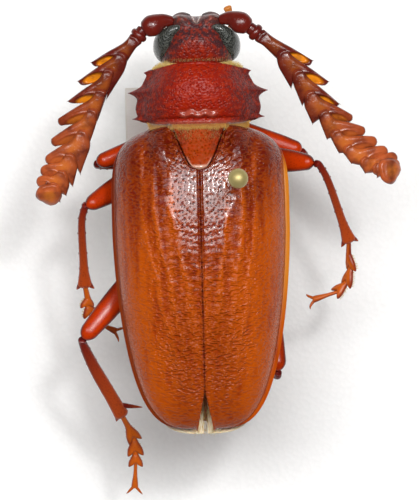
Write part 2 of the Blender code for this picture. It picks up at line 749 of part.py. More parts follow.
def antennomere(side_name, k):
    """One segment of the feeler, in plan: a barrel with its inner tooth, and a flat outer lobe."""
    joints, lobes, teeth = JOINTS[side_name], LOBE_TIPS[side_name], TOOTH_TIPS[side_name]
    start = mm(*joints[k], feeler_level(k))
    end = mm(*joints[k + 1], feeler_level(k + 1))
    axis = (end - start).normalized()
    side = -1.0 if side_name == "left" else 1.0
    out = axis.cross(Vector((0, 0, 1))).normalized() * -side
    up = (out.cross(axis) * side).normalized()
    share = k / len(lobes)
    root = start - axis * 0.3 * MM
    middle = start.lerp(end, 0.6)
    outline = [root - out * 0.26 * MM, root + out * 0.26 * MM]
    outline += [middle + out * 0.44 * MM, end + out * 0.46 * MM]
    outline.append(end - out * 0.36 * MM)
    if 1 <= k < len(lobes):
        outline.append(mm(*teeth[k - 1], feeler_level(k + 1) - 0.02))
    outline.append(middle - out * 0.5 * MM)
    pieces = [slab("barrel", start.lerp(end, 0.72), outline, up, BARREL_LEVELS)]
    if k < len(lobes):
        tip = mm(*lobes[k], feeler_level(k + 1) - 0.05)
        base = start.lerp(end, 0.6)
        along = tip - base
        ahead = along.cross(up).normalized() * side
        blunt = 0.12 + 0.28 * share
        half_widths = ((0.0, 0.3), (0.5, 0.4 + 0.06 * share), (0.86, 0.5 * blunt + 0.2), (1.0, 0.5 * blunt))
        lobe = [base + along * u + ahead * (v * MM) for u, v in half_widths]
        lobe += [base + along * u - ahead * (v * MM) for u, v in reversed(half_widths)]
        pieces.append(slab("lobe", base + along * 0.5, lobe, up, LOBE_LEVELS))
    return pieces


def make_antennae():
    """Scape, pedicel and the saw-like flagellum of each antenna."""
    for side_name, _ in SIDES:
        points = [mm(*p) for p in SCAPES[side_name]]
        widths, depths = [0.38, 0.68, 0.55], [0.38, 0.6, 0.5]
        scape = limb(f"antenna_{side_name}_scape", points, widths, depths, "antenna_brown")
        first = mm(*JOINTS[side_name][0], feeler_level(0))
        axis = (first - points[-1]).normalized()
        neck = [points[-1], first - axis * (GAP + PEDICEL_SHORT)]
        combine(scape, "UNION", [limb("pedicel", neck, [0.4, 0.42], [0.4, 0.38], steps=2, sides=8)])
        pieces = []
        for k in range(len(JOINTS[side_name]) - 1):
            pieces += antennomere(side_name, k)
        whole = adopt(pieces.pop(0), f"antenna_{side_name}_flagellum", "antenna_brown")
        combine(whole, "UNION", pieces, solver="MANIFOLD")


# Each leg in millimetres: the femur from hip to knee, the tibia from knee to ankle, then the foot's
# joints to the claws, and how far the foot is rolled, in degrees
LEGS = {
    "front_left": {
        "femur": ((-2.0, 8.6, 24.4), (-4.3, 7.0, 24.9), (-6.9, 6.05, 25.5)),
        "tibia": ((-6.75, 5.9, 24.6), (-5.1, 6.0, 23.7), (-3.0, 7.0, 22.2)),
        "tarsus": (
            (-2.5, 7.5, 21.8), (-2.2, 8.3, 21.5), (-1.95, 9.1, 21.25),
            (-1.7, 9.8, 21.05), (-1.3, 11.0, 20.7),
        ),
        "roll": 0,
    },
    "front_right": {
        "femur": ((2.0, 8.6, 24.2), (4.5, 7.42, 23.9), (6.95, 6.6, 24.1)),
        "tibia": ((7.0, 6.3, 23.2), (5.3, 6.4, 22.4), (3.2, 7.2, 21.2)),
        "tarsus": (
            (2.75, 7.65, 20.9), (2.4, 8.4, 20.65), (2.15, 9.2, 20.45),
            (1.9, 9.9, 20.3), (1.45, 11.2, 20.0),
        ),
        "roll": 0,
    },
    "middle_left": {
        "femur": ((-2.5, 5.8, 23.65), (-5.0, 4.62, 24.7), (-7.6, 3.15, 25.85)),
        "tibia": ((-7.8, 3.1, 25.6), (-8.07, 2.0, 25.1), (-8.05, -0.7, 23.4), (-8.02, -2.4, 22.35)),
        "tarsus": (
            (-7.85, -2.98, 21.95), (-7.91, -3.6, 21.7), (-7.73, -4.15, 21.4),
            (-7.25, -4.8, 21.2), (-5.95, -5.45, 20.9),
        ),
        "roll": 25,
    },
    "middle_right": {
        "femur": ((2.5, 6.1, 23.65), (5.1, 5.98, 25.0), (7.7, 5.7, 26.3)),
        "tibia": ((8.1, 5.5, 26.0), (8.7, 4.35, 25.3), (9.55, 1.83, 23.6), (10.1, 0.25, 22.6)),
        "tarsus": (
            (9.97, -0.32, 22.2), (10.16, -1.4, 21.9), (9.86, -2.45, 21.6),
            (9.15, -3.1, 21.4), (7.5, -3.58, 21.1),
        ),
        "roll": 60,
    },
    "hind_left": {
        "femur": ((-3.3, -0.3, 24.0), (-5.6, -2.9, 24.9), (-8.0, -5.65, 25.55)),
        "tibia": ((-8.2, -6.1, 25.1), (-7.5, -7.75, 23.9), (-6.4, -9.85, 22.4), (-5.65, -11.3, 21.3)),
        "tarsus": (
            (-5.4, -11.8, 20.85), (-4.95, -12.8, 20.3), (-4.88, -13.8, 19.9),
            (-4.89, -14.6, 19.6), (-5.0, -16.25, 19.0),
        ),
        "roll": 0,
    },
    "hind_right": {
        "femur": ((3.2, -0.4, 24.0), (4.38, -4.6, 24.3), (5.03, -8.3, 24.9)),
        "tibia": ((4.85, -8.6, 24.2), (3.9, -7.6, 23.1), (2.6, -5.9, 21.4), (1.9, -4.9, 20.4)),
        "tarsus": (
            (1.5, -4.3, 19.95), (1.15, -3.6, 19.75), (0.8, -2.8, 19.45),
            (0.5, -2.1, 19.2), (0.05, -0.6, 18.75),
        ),
        "roll": 0,
    },
}
# Spines at a tibia's end: root and tip, each as (towards the body, beyond the end), in millimetres
SPINES = {
    "front": (((-0.28, -0.35), (-0.56, 0.1)), ((0.28, -0.35), (0.6, 0.1))),
    "middle": (((-0.28, -0.35), (-0.58, 0.1)), ((0.28, -0.35), (0.64, 0.08))),
    "hind": (((-0.28, -0.35), (-0.54, 0.05)), ((0.3, -0.95), (1.5, 0.05))),
}
THIGH_WIDTHS = {
    "front": (0.42, 0.6, 0.62, 0.48),
    "middle": (0.42, 0.78, 0.76, 0.46),
    "hind": (0.45, 0.74, 0.74, 0.56),
}
SHANK_WIDTHS = {
    "front": (0.26, 0.28, 0.3, 0.48),
    "middle": (0.26, 0.26, 0.27, 0.3, 0.54),
    "hind": (0.26, 0.36, 0.43, 0.46, 0.52),
}


def leg_points(leg, part):
    """The path of one part of a leg, in metres."""
    return [mm(*p) for p in LEGS[leg][part]]


def thigh(name, leg, grow=0.0, material=None):
    """The flattened femur."""
    widths = THIGH_WIDTHS[leg.split("_")[0]]
    points = leg_points(leg, "femur")
    return limb(name, points, widths, [0.36, 0.48, 0.44], material, sides=10, steps=3, grow=grow)


def shank(name, leg, grow=0.0, material=None):
    """The tibia, slender at the knee and widening to its end."""
    widths = SHANK_WIDTHS[leg.split("_")[0]]
    return limb(name, leg_points(leg, "tibia"), widths, [0.26, 0.28, 0.3], material, sides=8, grow=grow)


TARSAL_HEART = (
    (0.0, 0.3), (0.4, 0.7), (0.8, 0.95), (1.2, 1.0), (1.05, 0.42), (0.92, 0.0),
    (1.05, -0.42), (1.2, -1.0), (0.8, -0.95), (0.4, -0.7), (0.0, -0.3),
)
TARSAL_WIDTHS = (0.56, 0.6, 0.52)
TARSAL_LEVELS = ((-0.28, 0.6), (0.0, 1.0), (0.26, 0.6))


def tarsal_segment(start, end, half_width, up):
    """One foot segment: a flat heart with its root at the last joint and two pointed lobes ahead."""
    along = end - start
    across = along.normalized().cross(up).normalized()
    outline = [start + along * u + across * (half_width * v * MM) for u, v in TARSAL_HEART]
    return slab("heart", start + along * 0.6, outline, across.cross(along).normalized(), TARSAL_LEVELS)


def claws(start, end):
    """Two curved claws that spread from the end of the last foot segment."""
    axis = (end - start).normalized()
    across = axis.cross(Vector((0, 0, 1))).normalized()
    pieces = []
    for sign in (-1, 1):
        root = end - axis * 0.12 * MM + across * (sign * 0.1 * MM)
        bend = end + axis * 0.28 * MM + across * (sign * 0.42 * MM)
        tip = end + axis * 0.5 * MM + across * (sign * 0.58 * MM) - Vector((0, 0, 0.2 * MM))
        sizes = [0.16, 0.12, 0.05]
        pieces.append(limb("claw", [root, bend, tip], sizes, sizes, steps=1, sides=6))
    return pieces


def make_leg(leg):
    """Hip, femur, tibia with its end spines, and the foot with its claws."""
    pair, side_name = leg.split("_")
    side = -1.0 if side_name == "left" else 1.0
    coxa(f"leg_{leg}_coxa", pair, side, material="leg_red")

    femur = thigh(f"leg_{leg}_femur", leg, material="leg_red")
    combine(femur, "DIFFERENCE", [coxa("hip_room", pair, side, grow=GAP)])

    tibia = shank(f"leg_{leg}_tibia", leg, material="leg_red")
    path = leg_points(leg, "tibia")
    axis = (path[-1] - path[-2]).normalized()
    inward = axis.cross(Vector((0, 0, 1))).normalized() * side
    spines = []
    for (root_in, root_on), (tip_in, tip_on) in SPINES[pair]:
        root = path[-1] + inward * (root_in * MM) + axis * (root_on * MM)
        tip = path[-1] + inward * (tip_in * MM) + axis * (tip_on * MM)
        spines.append(limb("spine", [root, root.lerp(tip, 0.5), tip], [0.22, 0.17, 0.06], [0.22, 0.17, 0.06],
                           steps=1, sides=6))
    combine(tibia, "UNION", spines)
    combine(tibia, "DIFFERENCE", [thigh("knee_room", leg, grow=GAP)])

    foot = leg_points(leg, "tarsus")
    up = Matrix.Rotation(math.radians(side * LEGS[leg]["roll"]), 3, foot[1] - foot[0]) @ Vector((0, 0, 1))
    pieces = [tarsal_segment(start, end, w, up) for start, end, w in zip(foot, foot[1:4], TARSAL_WIDTHS)]
    last = limb("last_segment", [foot[3] - (foot[4] - foot[3]) * 0.12, foot[3].lerp(foot[4], 0.5), foot[4]],
                [0.22, 0.24, 0.28], [0.22, 0.24, 0.25], steps=1, sides=8)
    pieces += [last, *claws(foot[3], foot[4])]
    whole = adopt(pieces.pop(0), f"leg_{leg}_tarsus", "tarsus_amber")
    combine(whole, "UNION", pieces)
    combine(whole, "DIFFERENCE", [shank("ankle_room", leg, grow=GAP)])


def make_mount():
    """The insect pin, the blank card label on it, and the foam block that holds it."""
    low = Vector((PIN_X, PIN_Y, PIN_BOTTOM))
    point = (PIN_POINT_RADIUS, PIN_POINT_LENGTH)
    pin = cylinder("insect_pin", low, *point, "pin_steel", top_radius=PIN_RADIUS, segments=12)
    rise = Vector((0, 0, PIN_POINT_LENGTH - SLIVER / 2))
    shaft = cylinder("shaft", low + rise, PIN_RADIUS, PIN_LENGTH - PIN_POINT_LENGTH, segments=12)
    top = low + Vector((0, 0, PIN_LENGTH - PIN_HEAD_RADIUS * 0.8))
    head = ellipsoid("ball", top, Vector((1, 1, 0.92)) * PIN_HEAD_RADIUS, segments=16, rings=10)
    combine(pin, "UNION", [shaft, head])

    label = block("label", LABEL_LOW, LABEL_SIZE, "label_card")
    combine(label, "DIFFERENCE", [pin_clearance()])

    corner = Vector((-BASE_SIZE.x / 2, -BASE_SIZE.y / 2, 0))
    base = block("stand_base", corner, BASE_SIZE, "foam_white")
    bevel = base.modifiers.new("bevel", "BEVEL")
    bevel.width = BASE_EDGE
    bevel.segments = BASE_EDGE_SEGMENTS
    combine(base, "DIFFERENCE", [pin_clearance()])


def main():
    """Builds every part of the specimen and its mount."""
    make_elytra()
    make_hind_wings()
    make_scutellum()
    make_mesothorax()
    make_metathorax()
    make_abdomen()
    make_prothorax()
    make_head()
    make_mouthparts()
    make_antennae()
    for leg in LEGS:
        make_leg(leg)
    make_mount()


main()
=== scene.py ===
import logging
import math
from collections.abc import Callable, Sequence
from dataclasses import dataclass, field
from enum import Enum

import bpy
import numpy as np
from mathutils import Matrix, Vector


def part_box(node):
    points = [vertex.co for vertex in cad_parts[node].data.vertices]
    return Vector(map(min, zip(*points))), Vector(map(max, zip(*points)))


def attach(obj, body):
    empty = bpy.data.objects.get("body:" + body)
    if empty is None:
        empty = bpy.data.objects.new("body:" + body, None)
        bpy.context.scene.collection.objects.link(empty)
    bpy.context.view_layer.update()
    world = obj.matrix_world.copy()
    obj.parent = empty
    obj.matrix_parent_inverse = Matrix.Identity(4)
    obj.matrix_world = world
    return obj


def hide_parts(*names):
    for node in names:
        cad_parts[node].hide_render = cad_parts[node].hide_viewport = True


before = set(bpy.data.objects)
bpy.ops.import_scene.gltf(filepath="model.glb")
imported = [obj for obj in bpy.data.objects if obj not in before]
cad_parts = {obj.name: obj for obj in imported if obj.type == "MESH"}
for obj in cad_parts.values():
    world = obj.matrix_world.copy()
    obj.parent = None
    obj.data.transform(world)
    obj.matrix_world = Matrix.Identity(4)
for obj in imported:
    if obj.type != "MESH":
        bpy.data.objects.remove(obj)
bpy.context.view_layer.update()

# Looks of a dried, pinned male sand prionus beetle on its insect pin, label and foam block.
# Shapes are worked out in millimetres in the frame's own axes, +Y towards the head and +Z up, and
# are turned into metres when they are put into a mesh.

MM = 0.001
BODY = "root"
LOG = logging.getLogger("prionus")

Array = np.ndarray
Points = Sequence[Sequence[float]]
Colour = tuple[float, float, float]

UP = (0.0, 0.0, 1.0)

# Levels that several pieces share, in millimetres
MARGIN_Z = 28.4
SHOULDER_Z = 28.15
SCUTELLUM_TIP_Y = 5.36
HEAD_WAIST_Z = 27.6
TRUNK_WAIST_Z = 27.3


class Side(Enum):
    """The two sides of the insect, by the sign of X."""

    LEFT = -1.0
    RIGHT = 1.0

    @property
    def word(self) -> str:
        """The side's name as the frame's nodes use it."""
        return self.name.lower()

    @property
    def flip(self) -> Array:
        """Factors that carry a right-hand place to this side."""
        return np.array([self.value, 1, 1])


class Pair(Enum):
    """The three pairs of legs."""

    FRONT = "front"
    MIDDLE = "middle"
    HIND = "hind"


class Slot(Enum):
    """The record's material slots."""

    BODY = "body_red"
    WING_CASE = "wing_case"
    ANTENNA = "antenna_brown"
    LEG = "leg_red"
    FOOT = "tarsus_amber"
    EYE = "eye_black"
    MEMBRANE = "wing_membrane"
    PIN = "pin_steel"
    CARD = "label_card"
    FOAM = "foam_white"


# Numbers and noise


def unit(vectors: Array) -> Array:
    """Vectors brought to length one along their last axis."""
    return vectors / np.maximum(np.linalg.norm(vectors, axis=-1, keepdims=True), 1e-12)


def smooth_line(points: Points | Sequence[float], shares: Array) -> Array:
    """Reads a Catmull-Rom curve through the given points or numbers.

    Args:
        points: points, or plain numbers, evenly spread over the curve.
        shares: places along the curve from 0 to 1.

    Returns:
        One row for each share: each is a cubic blend of the four points round it.
    """
    p = np.asarray(points, float)
    flat = p.ndim == 1
    p = p[:, None] if flat else p
    padded = np.vstack([2 * p[0] - p[1], p, 2 * p[-1] - p[-2]])
    place = np.clip(shares, 0, 1) * (len(p) - 1)
    k = np.minimum(place.astype(int), len(p) - 2)
    t = (place - k)[:, None]
    a, b, c, d = padded[k], padded[k + 1], padded[k + 2], padded[k + 3]
    read = 0.5 * (2 * b + (c - a) * t + (2 * a - 5 * b + 4 * c - d) * t**2 + (3 * b - a - 3 * c + d) * t**3)
    return read[:, 0] if flat else read


def bell(x: Array, centre: float, width: float) -> Array:
    """A bell curve: one at the centre and near nothing two widths away."""
    return np.exp(-(((x - centre) / width) ** 2))


def step(x: Array, low: float, high: float) -> Array:
    """A smooth rise from 0 at low to 1 at high; falls where low is above high."""
    t = np.clip((x - low) / (high - low), 0, 1)
    return t * t * (3 - 2 * t)


def lattice(ix: Array, iy: Array, seed: float) -> Array:
    """A fixed number from 0 to 1 for each cell of a lattice."""
    n = np.sin(ix * 127.1 + iy * 311.7 + seed * 74.7) * 43758.5453
    return n - np.floor(n)


def value_noise(x: Array, y: Array, seed: float) -> Array:
    """Soft noise from -1 to 1: lattice numbers blended smoothly between the four corners of a cell."""
    ix, iy = np.floor(x), np.floor(y)
    fx, fy = x - ix, y - iy
    fx, fy = fx * fx * (3 - 2 * fx), fy * fy * (3 - 2 * fy)
    low = lattice(ix, iy, seed) * (1 - fx) + lattice(ix + 1, iy, seed) * fx
    high = lattice(ix, iy + 1, seed) * (1 - fx) + lattice(ix + 1, iy + 1, seed) * fx
    return 2 * (low * (1 - fy) + high * fy) - 1


def pits(x: Array, y: Array, crowding: float, seed: float, width: float) -> Array:
    """Round pits: a bell curve of the distance to the nearest of one jittered point per lattice cell.

    Args:
        x, y: coordinates, in millimetres.
        crowding: cells in a millimetre.
        seed: picks the pattern.
        width: how wide a pit is, in cells.

    Returns:
        One in the middle of a pit, and near nothing between pits.
    """
    x, y = x * crowding, y * crowding
    nearest = np.full(x.shape, 9.0)
    for ox in (-1, 0, 1):
        for oy in (-1, 0, 1):
            cx, cy = np.floor(x) + ox, np.floor(y) + oy
            px = cx + 0.15 + 0.7 * lattice(cx, cy, seed)
            py = cy + 0.15 + 0.7 * lattice(cx, cy, seed + 9)
            nearest = np.minimum(nearest, np.hypot(x - px, y - py))
    return bell(nearest, 0.0, width)


def mounds(x: Array, y: Array, table: Points) -> Array:
    """The sum of bell-shaped mounds, each given as its centre's x and y, both its widths, and its height."""
    return sum(high * bell(x, cx, wide) * bell(y, cy, long) for cx, cy, wide, long, high in table)


def superellipse(sides: int, power: float) -> tuple[Array, Array, Array]:
    """Angles round a ring, and the two places of a superellipse: power 2 is an oval, more is squarer."""
    angle = np.linspace(0, 2 * np.pi, sides, endpoint=False)[None, :]
    c, s = np.cos(angle), np.sin(angle)
    return angle, np.sign(c) * np.abs(c) ** (2 / power), np.sign(s) * np.abs(s) ** (2 / power)


def spread(x: Array | float, y: Array | float, z: Array | float) -> Array:
    """Points from three coordinates of shapes that fit each other."""
    return np.stack(np.broadcast_arrays(x, y, z), -1)


def out_and_back(upper: Array, lower: Array) -> Array:
    """Rings that run over an upper face and return along the lower one."""
    return np.concatenate([upper, lower[:, ::-1]], axis=1)


def linked(name: str, data: bpy.types.ID) -> bpy.types.Object:
    """A new object in the scene."""
    made = bpy.data.objects.new(name, data)
    bpy.context.scene.collection.objects.link(made)
    return made


# Surfaces


def ring_quads(rows: int, columns: int) -> Array:
    """Faces between neighbouring rings of points, as the numbers of their four corners."""
    i, j = np.meshgrid(np.arange(rows - 1), np.arange(columns), indexing="ij")
    k = (j + 1) % columns
    quads = [i * columns + j, i * columns + k, (i + 1) * columns + k, (i + 1) * columns + j]
    return np.stack(quads, -1).reshape(-1, 4)


@dataclass
class Patch:
    """A closed surface in millimetres with its marks: named numbers on each point that finishes read."""

    points: Array
    quads: Array
    triangles: Array
    marks: dict[str, Array] = field(default_factory=dict)

    @classmethod
    def rings(cls, grid: Array, marks: dict[str, Array] | None = None, capped: bool = True) -> "Patch":
        """Closes a grid of rings: each row is a ring, and the first and last row end in a pole.

        Args:
            grid: points by row, place round the ring, and axis.
            marks: numbers by row and place.
            capped: whether poles close the ends.

        Returns:
            The patch with its faces pointing out.
        """
        rows, columns = grid.shape[:2]
        points = grid.reshape(-1, 3)
        named = {name: np.broadcast_to(v, (rows, columns)).ravel() for name, v in (marks or {}).items()}
        triangles = np.empty((0, 3), int)
        if capped:
            points = np.vstack([points, grid[0].mean(0), grid[-1].mean(0)])
            here = np.arange(columns)
            ahead = (here + 1) % columns
            pole, base = np.full(columns, rows * columns), (rows - 1) * columns
            start = np.stack([pole, ahead, here], -1)
            end = np.stack([pole + 1, base + here, base + ahead], -1)
            triangles = np.vstack([start, end])
            named = {n: np.append(v, [v[:columns].mean(), v[-columns:].mean()]) for n, v in named.items()}
        return cls(points, ring_quads(rows, columns), triangles, named).facing_out()

    def facing_out(self) -> "Patch":
        """Turns every face over where the enclosed volume comes out negative."""
        halves = [self.quads[:, [0, 1, 2]], self.quads[:, [0, 2, 3]], self.triangles]
        corners = self.points[np.vstack(halves)]
        volume = np.einsum("ij,ij->i", corners[:, 0], np.cross(corners[:, 1], corners[:, 2])).sum()
        if volume < 0:
            self.quads, self.triangles = self.quads[:, ::-1], self.triangles[:, ::-1]
        return self

    @staticmethod
    def joined(patches: Sequence["Patch"]) -> "Patch":
        """Several patches as one; a mark that a patch lacks is nought there."""
        names = sorted({name for p in patches for name in p.marks})
        starts = np.cumsum([0] + [len(p.points) for p in patches])
        return Patch(
            np.vstack([p.points for p in patches]),
            np.vstack([p.quads + s for p, s in zip(patches, starts)]),
            np.vstack([p.triangles + s for p, s in zip(patches, starts)]),
            {n: np.concatenate([p.marks.get(n, np.zeros(len(p.points))) for p in patches]) for n in names},
        )

    def marked(self, **values: float) -> "Patch":
        """The patch with further marks that are the same all over it."""
        self.marks.update({name: np.full(len(self.points), value) for name, value in values.items()})
        return self

    def piece(self, name: str, finish: "Finish", slot: Slot, replaced: Sequence[str]) -> bpy.types.Object:
        """Makes the object, dresses it, and binds it to the frame.

        Args:
            name: the piece's name.
            finish: what its surface looks like.
            slot: the record's slot; not used.
            replaced: the frame's nodes that it stands for.

        Returns:
            The object, at the origin.
        """
        mesh = bpy.data.meshes.new(name)
        mesh.vertices.add(len(self.points))
        mesh.vertices.foreach_set("co", (self.points * MM).astype(np.float32).ravel())
        loops = np.concatenate([self.quads.ravel(), self.triangles.ravel()])
        mesh.loops.add(len(loops))
        mesh.loops.foreach_set("vertex_index", loops.astype(np.int32))
        four, three = len(self.quads), len(self.triangles)
        mesh.polygons.add(four + three)
        starts = np.concatenate([np.arange(four) * 4, four * 4 + np.arange(three) * 3])
        mesh.polygons.foreach_set("loop_start", starts.astype(np.int32))
        mesh.update(calc_edges=True)
        mesh.shade_smooth()
        for mark, values in self.marks.items():
            layer = mesh.attributes.new(mark, "FLOAT", "POINT")
            layer.data.foreach_set("value", values.astype(np.float32))
        mesh.materials.append(finish.material())
        made = linked(name, mesh)
        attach(made, BODY)
        if replaced:
            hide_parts(*replaced)
        LOG.info("%s: %d points, %d faces", name, len(self.points), four + three)
        return made


@dataclass
class Sweep:
    """An oval section carried along a smooth path, rounded off at both ends.

    Attributes:
        path: points that the middle line passes through.
        widths: half widths, spread evenly along the path.
        depths: half depths along flat, spread in the same way.
        flat: the direction that the depth lies nearest to, or several, read along the path.
        power: 2 for an oval section, more for a squarer one.
        rows: rings along the path.
        sides: points round each ring.
        blunt: share of the length over which each end is rounded off.
    """

    path: Points
    widths: Sequence[float]
    depths: Sequence[float]
    flat: Sequence[float] | Points = UP
    power: float = 2.0
    rows: int = 40
    sides: int = 28
    blunt: tuple[float, float] = (0.08, 0.08)

    def frame(self) -> tuple[Array, Array, Array, Array, Array]:
        """Middle line, tangent, across and up vectors, and shares along the path of each ring."""
        even = np.linspace(0, 1, self.rows)
        shares = 0.45 * even + 0.55 * (0.5 - 0.5 * np.cos(np.pi * even))
        line = smooth_line(self.path, shares)
        tangent = unit(np.gradient(line, axis=0))
        flat = np.asarray(self.flat, float)
        flat = smooth_line(flat, shares) if flat.ndim == 2 else flat
        across = unit(np.cross(tangent, flat))
        return line, tangent, across, np.cross(across, tangent), shares

    def patch(self, relief: Callable[[Array, Array], Array] | None = None) -> Patch:
        """Builds the surface: middle line + across * width * cos(a) + up * depth * sin(a).

        Args:
            relief: adds millimetres to both half sizes, from the share along and the angle round.

        Returns:
            The patch, marked with along, the share of its length, and edge, how far out to a side it is.
        """
        line, _, across, up, shares = self.frame()
        ends = 1.0
        for place, reach in zip((shares, 1 - shares), self.blunt):
            ends = ends * np.sqrt(np.clip(1 - np.clip(1 - place / reach, 0, 1) ** 2, 0.004, 1))
        width = (smooth_line(self.widths, shares) * ends)[:, None]
        depth = (smooth_line(self.depths, shares) * ends)[:, None]
        angle, c, s = superellipse(self.sides, self.power)
        if relief is not None:
            extra = relief(shares[:, None], angle) * ends[:, None]
            width, depth = width + extra, depth + extra
        grid = line[:, None] + across[:, None] * (width * c)[..., None] + up[:, None] * (depth * s)[..., None]
        return Patch.rings(grid, {"along": shares[:, None], "edge": np.abs(c) ** 3})


def spike(path: Points, radii: Sequence[float], rows: int, sides: int, blunt: tuple[float, float]) -> Patch:
    """A round horn or rod along a path."""
    return Sweep(path, radii, radii, rows=rows, sides=sides, blunt=blunt).patch()


def pebble(outline: Points, centre: Array, up: Array, thick: float) -> Patch:
    """A flat rounded piece: a smooth closed outline drawn in towards its centre as it rises and falls.

    At height h, from -1 to 1 times thick along up, the outline is scaled by the square root of 1 - h * h.

    Args:
        outline: corners of the outline, in order.
        centre: where the outline shrinks to.
        up: the direction of its thickness.
        thick: half its thickness.

    Returns:
        The patch, marked with edge, which is one at its rim.
    """
    corners = np.asarray(outline, float)
    closed = np.vstack([corners, corners[:1]])
    rim = smooth_line(closed, np.linspace(0, 1, 64, endpoint=False))
    height = np.sin(np.linspace(-0.47 * np.pi, 0.47 * np.pi, 14))[:, None]
    share = np.sqrt(1 - height**2)
    grid = centre + (rim - centre)[None] * share[..., None] + up * (height * thick)[..., None]
    return Patch.rings(grid, {"edge": share**3, "along": 0.5})


def ball(centre: Array, radii: Array, rows: int, sides: int) -> Patch:
    """A stretched ball: centre + radii * (cos(b) cos(a), cos(b) sin(a), sin(b))."""
    b = np.linspace(-0.485 * np.pi, 0.485 * np.pi, rows)[:, None]
    a = np.linspace(0, 2 * np.pi, sides, endpoint=False)[None, :]
    shape = spread(np.cos(b) * np.cos(a), np.cos(b) * np.sin(a), np.sin(b))
    return Patch.rings(centre + shape * radii, {"edge": np.cos(b) ** 2, "along": 0.5})


# Shader maths


def operator(operation: str, swapped: bool = False) -> Callable[..., "Value"]:
    """A method that adds one Math node for a value and, where the operation takes two, another one.

    Args:
        operation: the node's operation.
        swapped: whether the other one comes first, as in the reflected form of a difference.

    Returns:
        The method.
    """

    def apply(self: "Value", other: "Value | float" = 0.0) -> "Value":
        """Adds the node."""
        first, second = (other, self) if swapped else (self, other)
        return self.web.node("ShaderNodeMath", {"operation": operation}, {0: first, 1: second})

    return apply


@dataclass(frozen=True)
class Value:
    """A shader socket that Python's operators work on: each operation adds one Math node."""

    web: "Web"
    socket: bpy.types.NodeSocket

    __add__ = __radd__ = operator("ADD")
    __mul__ = __rmul__ = operator("MULTIPLY")
    __sub__ = operator("SUBTRACT")
    __rsub__ = operator("SUBTRACT", swapped=True)
    __truediv__ = operator("DIVIDE")
    smallest = operator("MINIMUM")
    largest = operator("MAXIMUM")
    size = operator("ABSOLUTE")

    def rise(self, low: float, high: float) -> "Value":
        """A smooth step from 0 at low to 1 at high."""
        inputs = {"Value": self, "From Min": low, "From Max": high}
        return self.web.node("ShaderNodeMapRange", {"interpolation_type": "SMOOTHSTEP"}, inputs)

    def hill(self, width: float) -> "Value":
        """One where the value is nought, falling smoothly to nothing at plus and minus width."""
        return 1 - self.size().rise(0.0, width)


# Further inputs of the shader, by the short names that finishes use
SOCKETS = {
    "normal": "Normal", "metallic": "Metallic", "shine": "Specular IOR Level", "ior": "IOR",
    "coat": "Coat Weight", "coat_rough": "Coat Roughness", "sheen": "Sheen Weight",
    "depth": "Subsurface Weight", "depth_scale": "Subsurface Scale",
}


class Web:
    """One material's nodes, with the Principled shader that they feed."""

    def __init__(self, name: str) -> None:
        """Starts a material with its shader and the patterns' Object coordinates."""
        self.made = bpy.data.materials.new(name)
        self.made.use_nodes = True
        self.tree = self.made.node_tree
        self.shader = self.tree.nodes["Principled BSDF"]
        self.place = self.node("ShaderNodeTexCoord", {}, {}, "Object")

    def fill(self, socket: bpy.types.NodeSocket, value: "Value | Colour | float") -> None:
        """Links a socket, or sets it to a number, a vector, or a colour that gets its alpha here."""
        if isinstance(value, Value):
            self.tree.links.new(value.socket, socket)
        else:
            socket.default_value = (*value, 1.0) if socket.type == "RGBA" else value

    def node(self, kind: str, settings: dict[str, str], inputs: dict, output: str | int = 0) -> Value:
        """Adds any node.

        Args:
            kind: the node's type.
            settings: its properties, set first.
            inputs: values, colours or links by socket name or number.
            output: the socket that is handed back.

        Returns:
            That socket as a value.
        """
        node = self.tree.nodes.new(kind)
        for key, setting in settings.items():
            setattr(node, key, setting)
        for key, value in inputs.items():
            self.fill(node.inputs[key], value)
        return Value(self, node.outputs[output])

    def mark(self, name: str) -> Value:
        """Reads one of the piece's marks."""
        return self.node("ShaderNodeAttribute", {"attribute_name": name}, {}, "Fac")

    def axis(self, index: int) -> Value:
        """One Object coordinate in millimetres."""
        return self.node("ShaderNodeSeparateXYZ", {}, {0: self.place}, index) * (1 / MM)

    def scaled(self, x: float, y: float, z: float) -> Value:
        """Object coordinates stretched by one factor for each axis."""
        return self.node("ShaderNodeMapping", {}, {"Vector": self.place, "Scale": (x, y, z)})

    def noise(self, size: float, detail: float = 3.0, at: Value | None = None) -> Value:
        """Noise from 0 to 1 whose grains are about size millimetres."""
        inputs = {"Vector": at or self.place, "Scale": 1 / (size * MM), "Detail": detail}
        return self.node("ShaderNodeTexNoise", {}, inputs)

    def pits(self, size: float) -> Value:
        """Distance to the nearest of scattered points, about size millimetres apart, in those units."""
        inputs = {"Vector": self.place, "Scale": 1 / (size * MM)}
        return self.node("ShaderNodeTexVoronoi", {}, inputs, "Distance")

    def mix(self, share: Value | float, first: "Value | Colour", second: "Value | Colour") -> Value:
        """A colour between two, by a share from 0 to 1."""
        return self.node("ShaderNodeMix", {"data_type": "RGBA"}, {0: share, 6: first, 7: second}, 2)

    def bump(self, height: Value, depth: float, under: Value | None = None) -> Value:
        """A bump of so many millimetres, over another one where given."""
        inputs = {"Height": height, "Distance": depth * MM, "Strength": 1.0}
        if under is not None:
            inputs["Normal"] = under
        return self.node("ShaderNodeBump", {}, inputs)

    def finish(
        self, colour: "Value | Colour", rough: "Value | float", **others: "Value | float"
    ) -> bpy.types.Material:
        """Feeds the shader.

        Args:
            colour: base colour.
            rough: roughness.
            others: further inputs, by their names in SOCKETS.

        Returns:
            The material.
        """
        inputs = {"Base Color": colour, "Roughness": rough, "IOR": 1.5}
        inputs.update({SOCKETS[name]: value for name, value in others.items()})
        for name, value in inputs.items():
            self.fill(self.shader.inputs[name], value)
        return self.made


